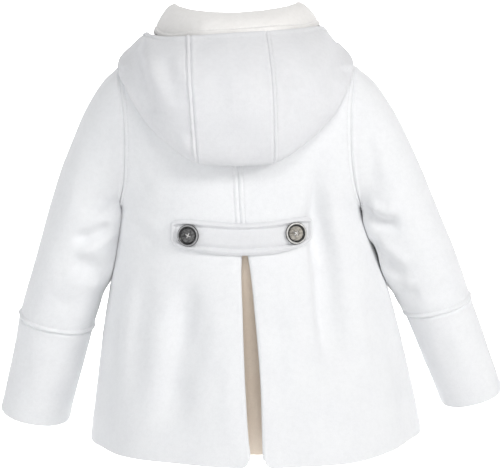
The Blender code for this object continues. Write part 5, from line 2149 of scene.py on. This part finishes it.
@dataclass(frozen=True)
class Studio:
    """The camera, the lights, and the pale floor and backdrop."""

    elevation: float = 9.0
    distance: float = 2.4
    aim: Triple = (-0.014742, 0, -0.22446)
    lens: float = 152.38
    floor: float = -0.66
    world: float = 0.36
    lights: tuple[Light, ...] = (
        Light("high", (-0.5, 1.7, 1.6), (0, 0, -0.22), 0.8, 12, (1, 0.99, 0.98)),
        Light("right", (-1.7, 1.4, 0.9), (0, 0, -0.22), 0.6, 19, (1, 0.99, 0.98)),
        Light("front", (0.1, 2.5, 0.1), (0, 0, -0.3), 1.3, 10),
        Light("left", (2, 0.9, 0.5), (0, 0, -0.22), 1, 9, (0.95, 0.975, 1)),
        Light("backdrop", (0, -1, 1.2), (0, -3.2, 0), 2.4, 220),
    )

    def build(self) -> None:
        """Makes the camera, the lights, the world and the stage."""
        scene = bpy.context.scene
        turn = math.radians(self.elevation)
        aim = Vector(self.aim)
        camera = bpy.data.cameras.new("camera")
        camera.lens, camera.sensor_width = self.lens, 36.0
        camera.clip_start, camera.clip_end = 0.1, 30.0
        eye = bpy.data.objects.new("camera", camera)
        eye.location = aim + Vector((0, math.cos(turn), math.sin(turn))) * self.distance
        eye.rotation_euler = (aim - eye.location).to_track_quat("-Z", "Y").to_euler()
        scene.collection.objects.link(eye)
        scene.camera = eye
        for light in self.lights:
            data = bpy.data.lights.new(light.name, "AREA")
            data.shape, data.size, data.energy, data.color = "DISK", light.size, light.power, light.colour
            lamp = bpy.data.objects.new(light.name, data)
            lamp.location = light.place
            lamp.rotation_euler = (Vector(light.at) - Vector(light.place)).to_track_quat("-Z", "Y").to_euler()
            scene.collection.objects.link(lamp)
        world = bpy.data.worlds.new("studio")
        world.use_nodes = True
        back = world.node_tree.nodes["Background"]
        back.inputs["Color"].default_value = (1, 1, 1, 1)
        back.inputs["Strength"].default_value = self.world
        scene.world = world
        scene.view_settings.view_transform = "Standard"
        self.stage()

    def stage(self) -> None:
        """Makes the floor, which curves up into the backdrop."""
        half, deep, tall, curve = 5, 2.6, 4, 1.1
        turns = np.linspace(0, math.pi / 2, 24)
        bend = [(-deep - curve * math.sin(t), self.floor + curve * (1 - math.cos(t))) for t in turns]
        line = [(4, self.floor), (1, self.floor), (-1, self.floor), *bend, (-deep - curve, self.floor + tall)]
        points = [(x, y, z) for y, z in line for x in (-half, half)]
        faces = [(2 * i, 2 * i + 1, 2 * i + 3, 2 * i + 2) for i in range(len(line) - 1)]
        finish = StageFinish("pale_floor", (0.92, 0.92, 0.925)).build()
        show("studio_floor", mesh_of("studio_floor", points, faces), finish)


LEFT_SLEEVE = (
    Ring(145, -43.5, 133.9, -193.4, 57, 0, 0),
    Ring(155, -56, 134.4, -196, 56, 0, 0),
    Ring(170.5, -82, 135, -200, 54, 0, 0),
    Ring(184, -113, 135.7, -206.5, 52, 0, 0),
    Ring(198.5, -149, 136.5, -217, 50, 1, 0),
    Ring(211.5, -189, 138.2, -231, 48, 2, 0),
    Ring(223, -229, 141.6, -252, 46.5, 4, 2),
    Ring(234, -266, 150, -285, 45.5, 6, 5),
    Ring(244.5, -301, 161, -320, 44, 9, 8),
    Ring(249, -317, 165, -332, 43.5, 11, 9),
)
LEFT_CUFF = (
    Ring(249, -317, 165, -332, 43.5, 11, 9),
    Ring(256.5, -355, 174.5, -369, 42.5, 16, 10),
    Ring(265, -391, 184.5, -404, 41, 21, 11),
    Ring(273.5, -427, 194, -440, 40, 26, 11),
)
RIGHT_SLEEVE = (
    Ring(147, -43, 141.6, -193.2, 57, 0, 0),
    Ring(159, -56, 142.6, -196, 56, 0, 0),
    Ring(177, -83, 144.2, -200, 54, 0, 0),
    Ring(192, -112, 146.4, -207, 52, 0, 0),
    Ring(209, -149, 149.6, -219, 50, 1, 0),
    Ring(225.5, -189, 154.4, -235, 48, 2, 0),
    Ring(241.5, -226, 162, -256, 45.5, 4, 2),
    Ring(254.5, -259, 173.5, -283, 43.5, 6, 4),
    Ring(262.5, -283, 184.5, -304, 42, 8, 6),
    Ring(267, -296, 192, -315, 41, 9, 7),
)
RIGHT_CUFF = (
    Ring(267, -296, 192, -315, 41, 9, 7),
    Ring(280, -331, 205.5, -348, 40, 13, 8),
    Ring(292.5, -366, 220, -383, 38.5, 17, 9),
    Ring(305.5, -403, 235.5, -420, 37.5, 21, 9),
)
LEFT_ARM = Arm(
    Side.LEFT, LEFT_SLEEVE, LEFT_CUFF,
    back_creases=(
        Crease(((134, -172), (144, -190), (160, -200)), 7, 3.6, 0.4),
        Crease(((136, -203), (152, -213), (168, -221), (186, -224)), 7, 8.5, 0.6),
        Crease(((140, -262), (160, -256), (188, -244)), 11, 5, 0.5),
        Crease(((146, -170), (160, -178), (172, -192)), 8, 1.8),
        Crease(((198, -130), (200, -170), (210, -214)), 12, 1.6),
        Crease(((216, -286), (198, -294), (180, -302)), 8, 1.6),
    ),
    front_creases=(
        Crease(((134, -200), (156, -212), (184, -218)), 7, 3.8, 0.6),
        Crease(((146, -236), (168, -248), (196, -244)), 9, 3, 0.5),
        Crease(((158, -282), (178, -290), (202, -284)), 9, 2),
    ),
    cuff_creases=(
        Crease(((178, -350), (196, -368), (206, -392)), 9, 1.1),
        Crease(((240, -360), (240, -390), (248, -412)), 9, 0.9),
    ),
)
RIGHT_ARM = Arm(
    Side.RIGHT, RIGHT_SLEEVE, RIGHT_CUFF,
    back_creases=(
        Crease(((-137, -178), (-148, -196), (-162, -204), (-186, -204)), 7, 8.5, 0.6),
        Crease(((-146, -222), (-160, -242), (-178, -260), (-194, -266)), 8, 6, 0.6),
        Crease(((-178, -276), (-192, -286), (-208, -284)), 8, 3.6, 0.5),
        Crease(((-142, -96), (-150, -130), (-150, -172)), 8, 1.9),
        Crease(((-196, -130), (-204, -174), (-220, -220)), 13, 1.8),
        Crease(((-238, -262), (-226, -282), (-214, -296)), 8, 1.6),
    ),
    front_creases=(
        Crease(((-142, -196), (-166, -210), (-192, -212)), 7, 3.8, 0.6),
        Crease(((-160, -240), (-184, -248), (-210, -240)), 9, 3, 0.5),
        Crease(((-182, -278), (-204, -280), (-226, -270)), 9, 2),
    ),
    cuff_creases=(
        Crease(((-226, -330), (-238, -356), (-240, -384)), 9, 1.2),
        Crease(((-268, -340), (-276, -368), (-280, -392)), 9, 1),
    ),
)


def main() -> None:
    """Builds the coat in the order in which it is sewn, then the studio round it."""
    logging.basicConfig(level=logging.INFO, format="%(message)s")
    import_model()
    room = Workroom(Finishes.make())
    form = TorsoForm()
    torso = Torso(form, Pleat())
    neck = NeckSeam(torso)
    belt = HalfBelt(form)
    torso.build(room)
    for arm in (LEFT_ARM, RIGHT_ARM):
        arm.build(room)
    Collar(neck).build(room)
    Hood(neck).build(room)
    belt.build(room)
    Buttons(torso, belt).build(room)
    Studio().build()
    LOG.info("made %d pieces", len(room.made))


if __name__ == "__main__":
    main()
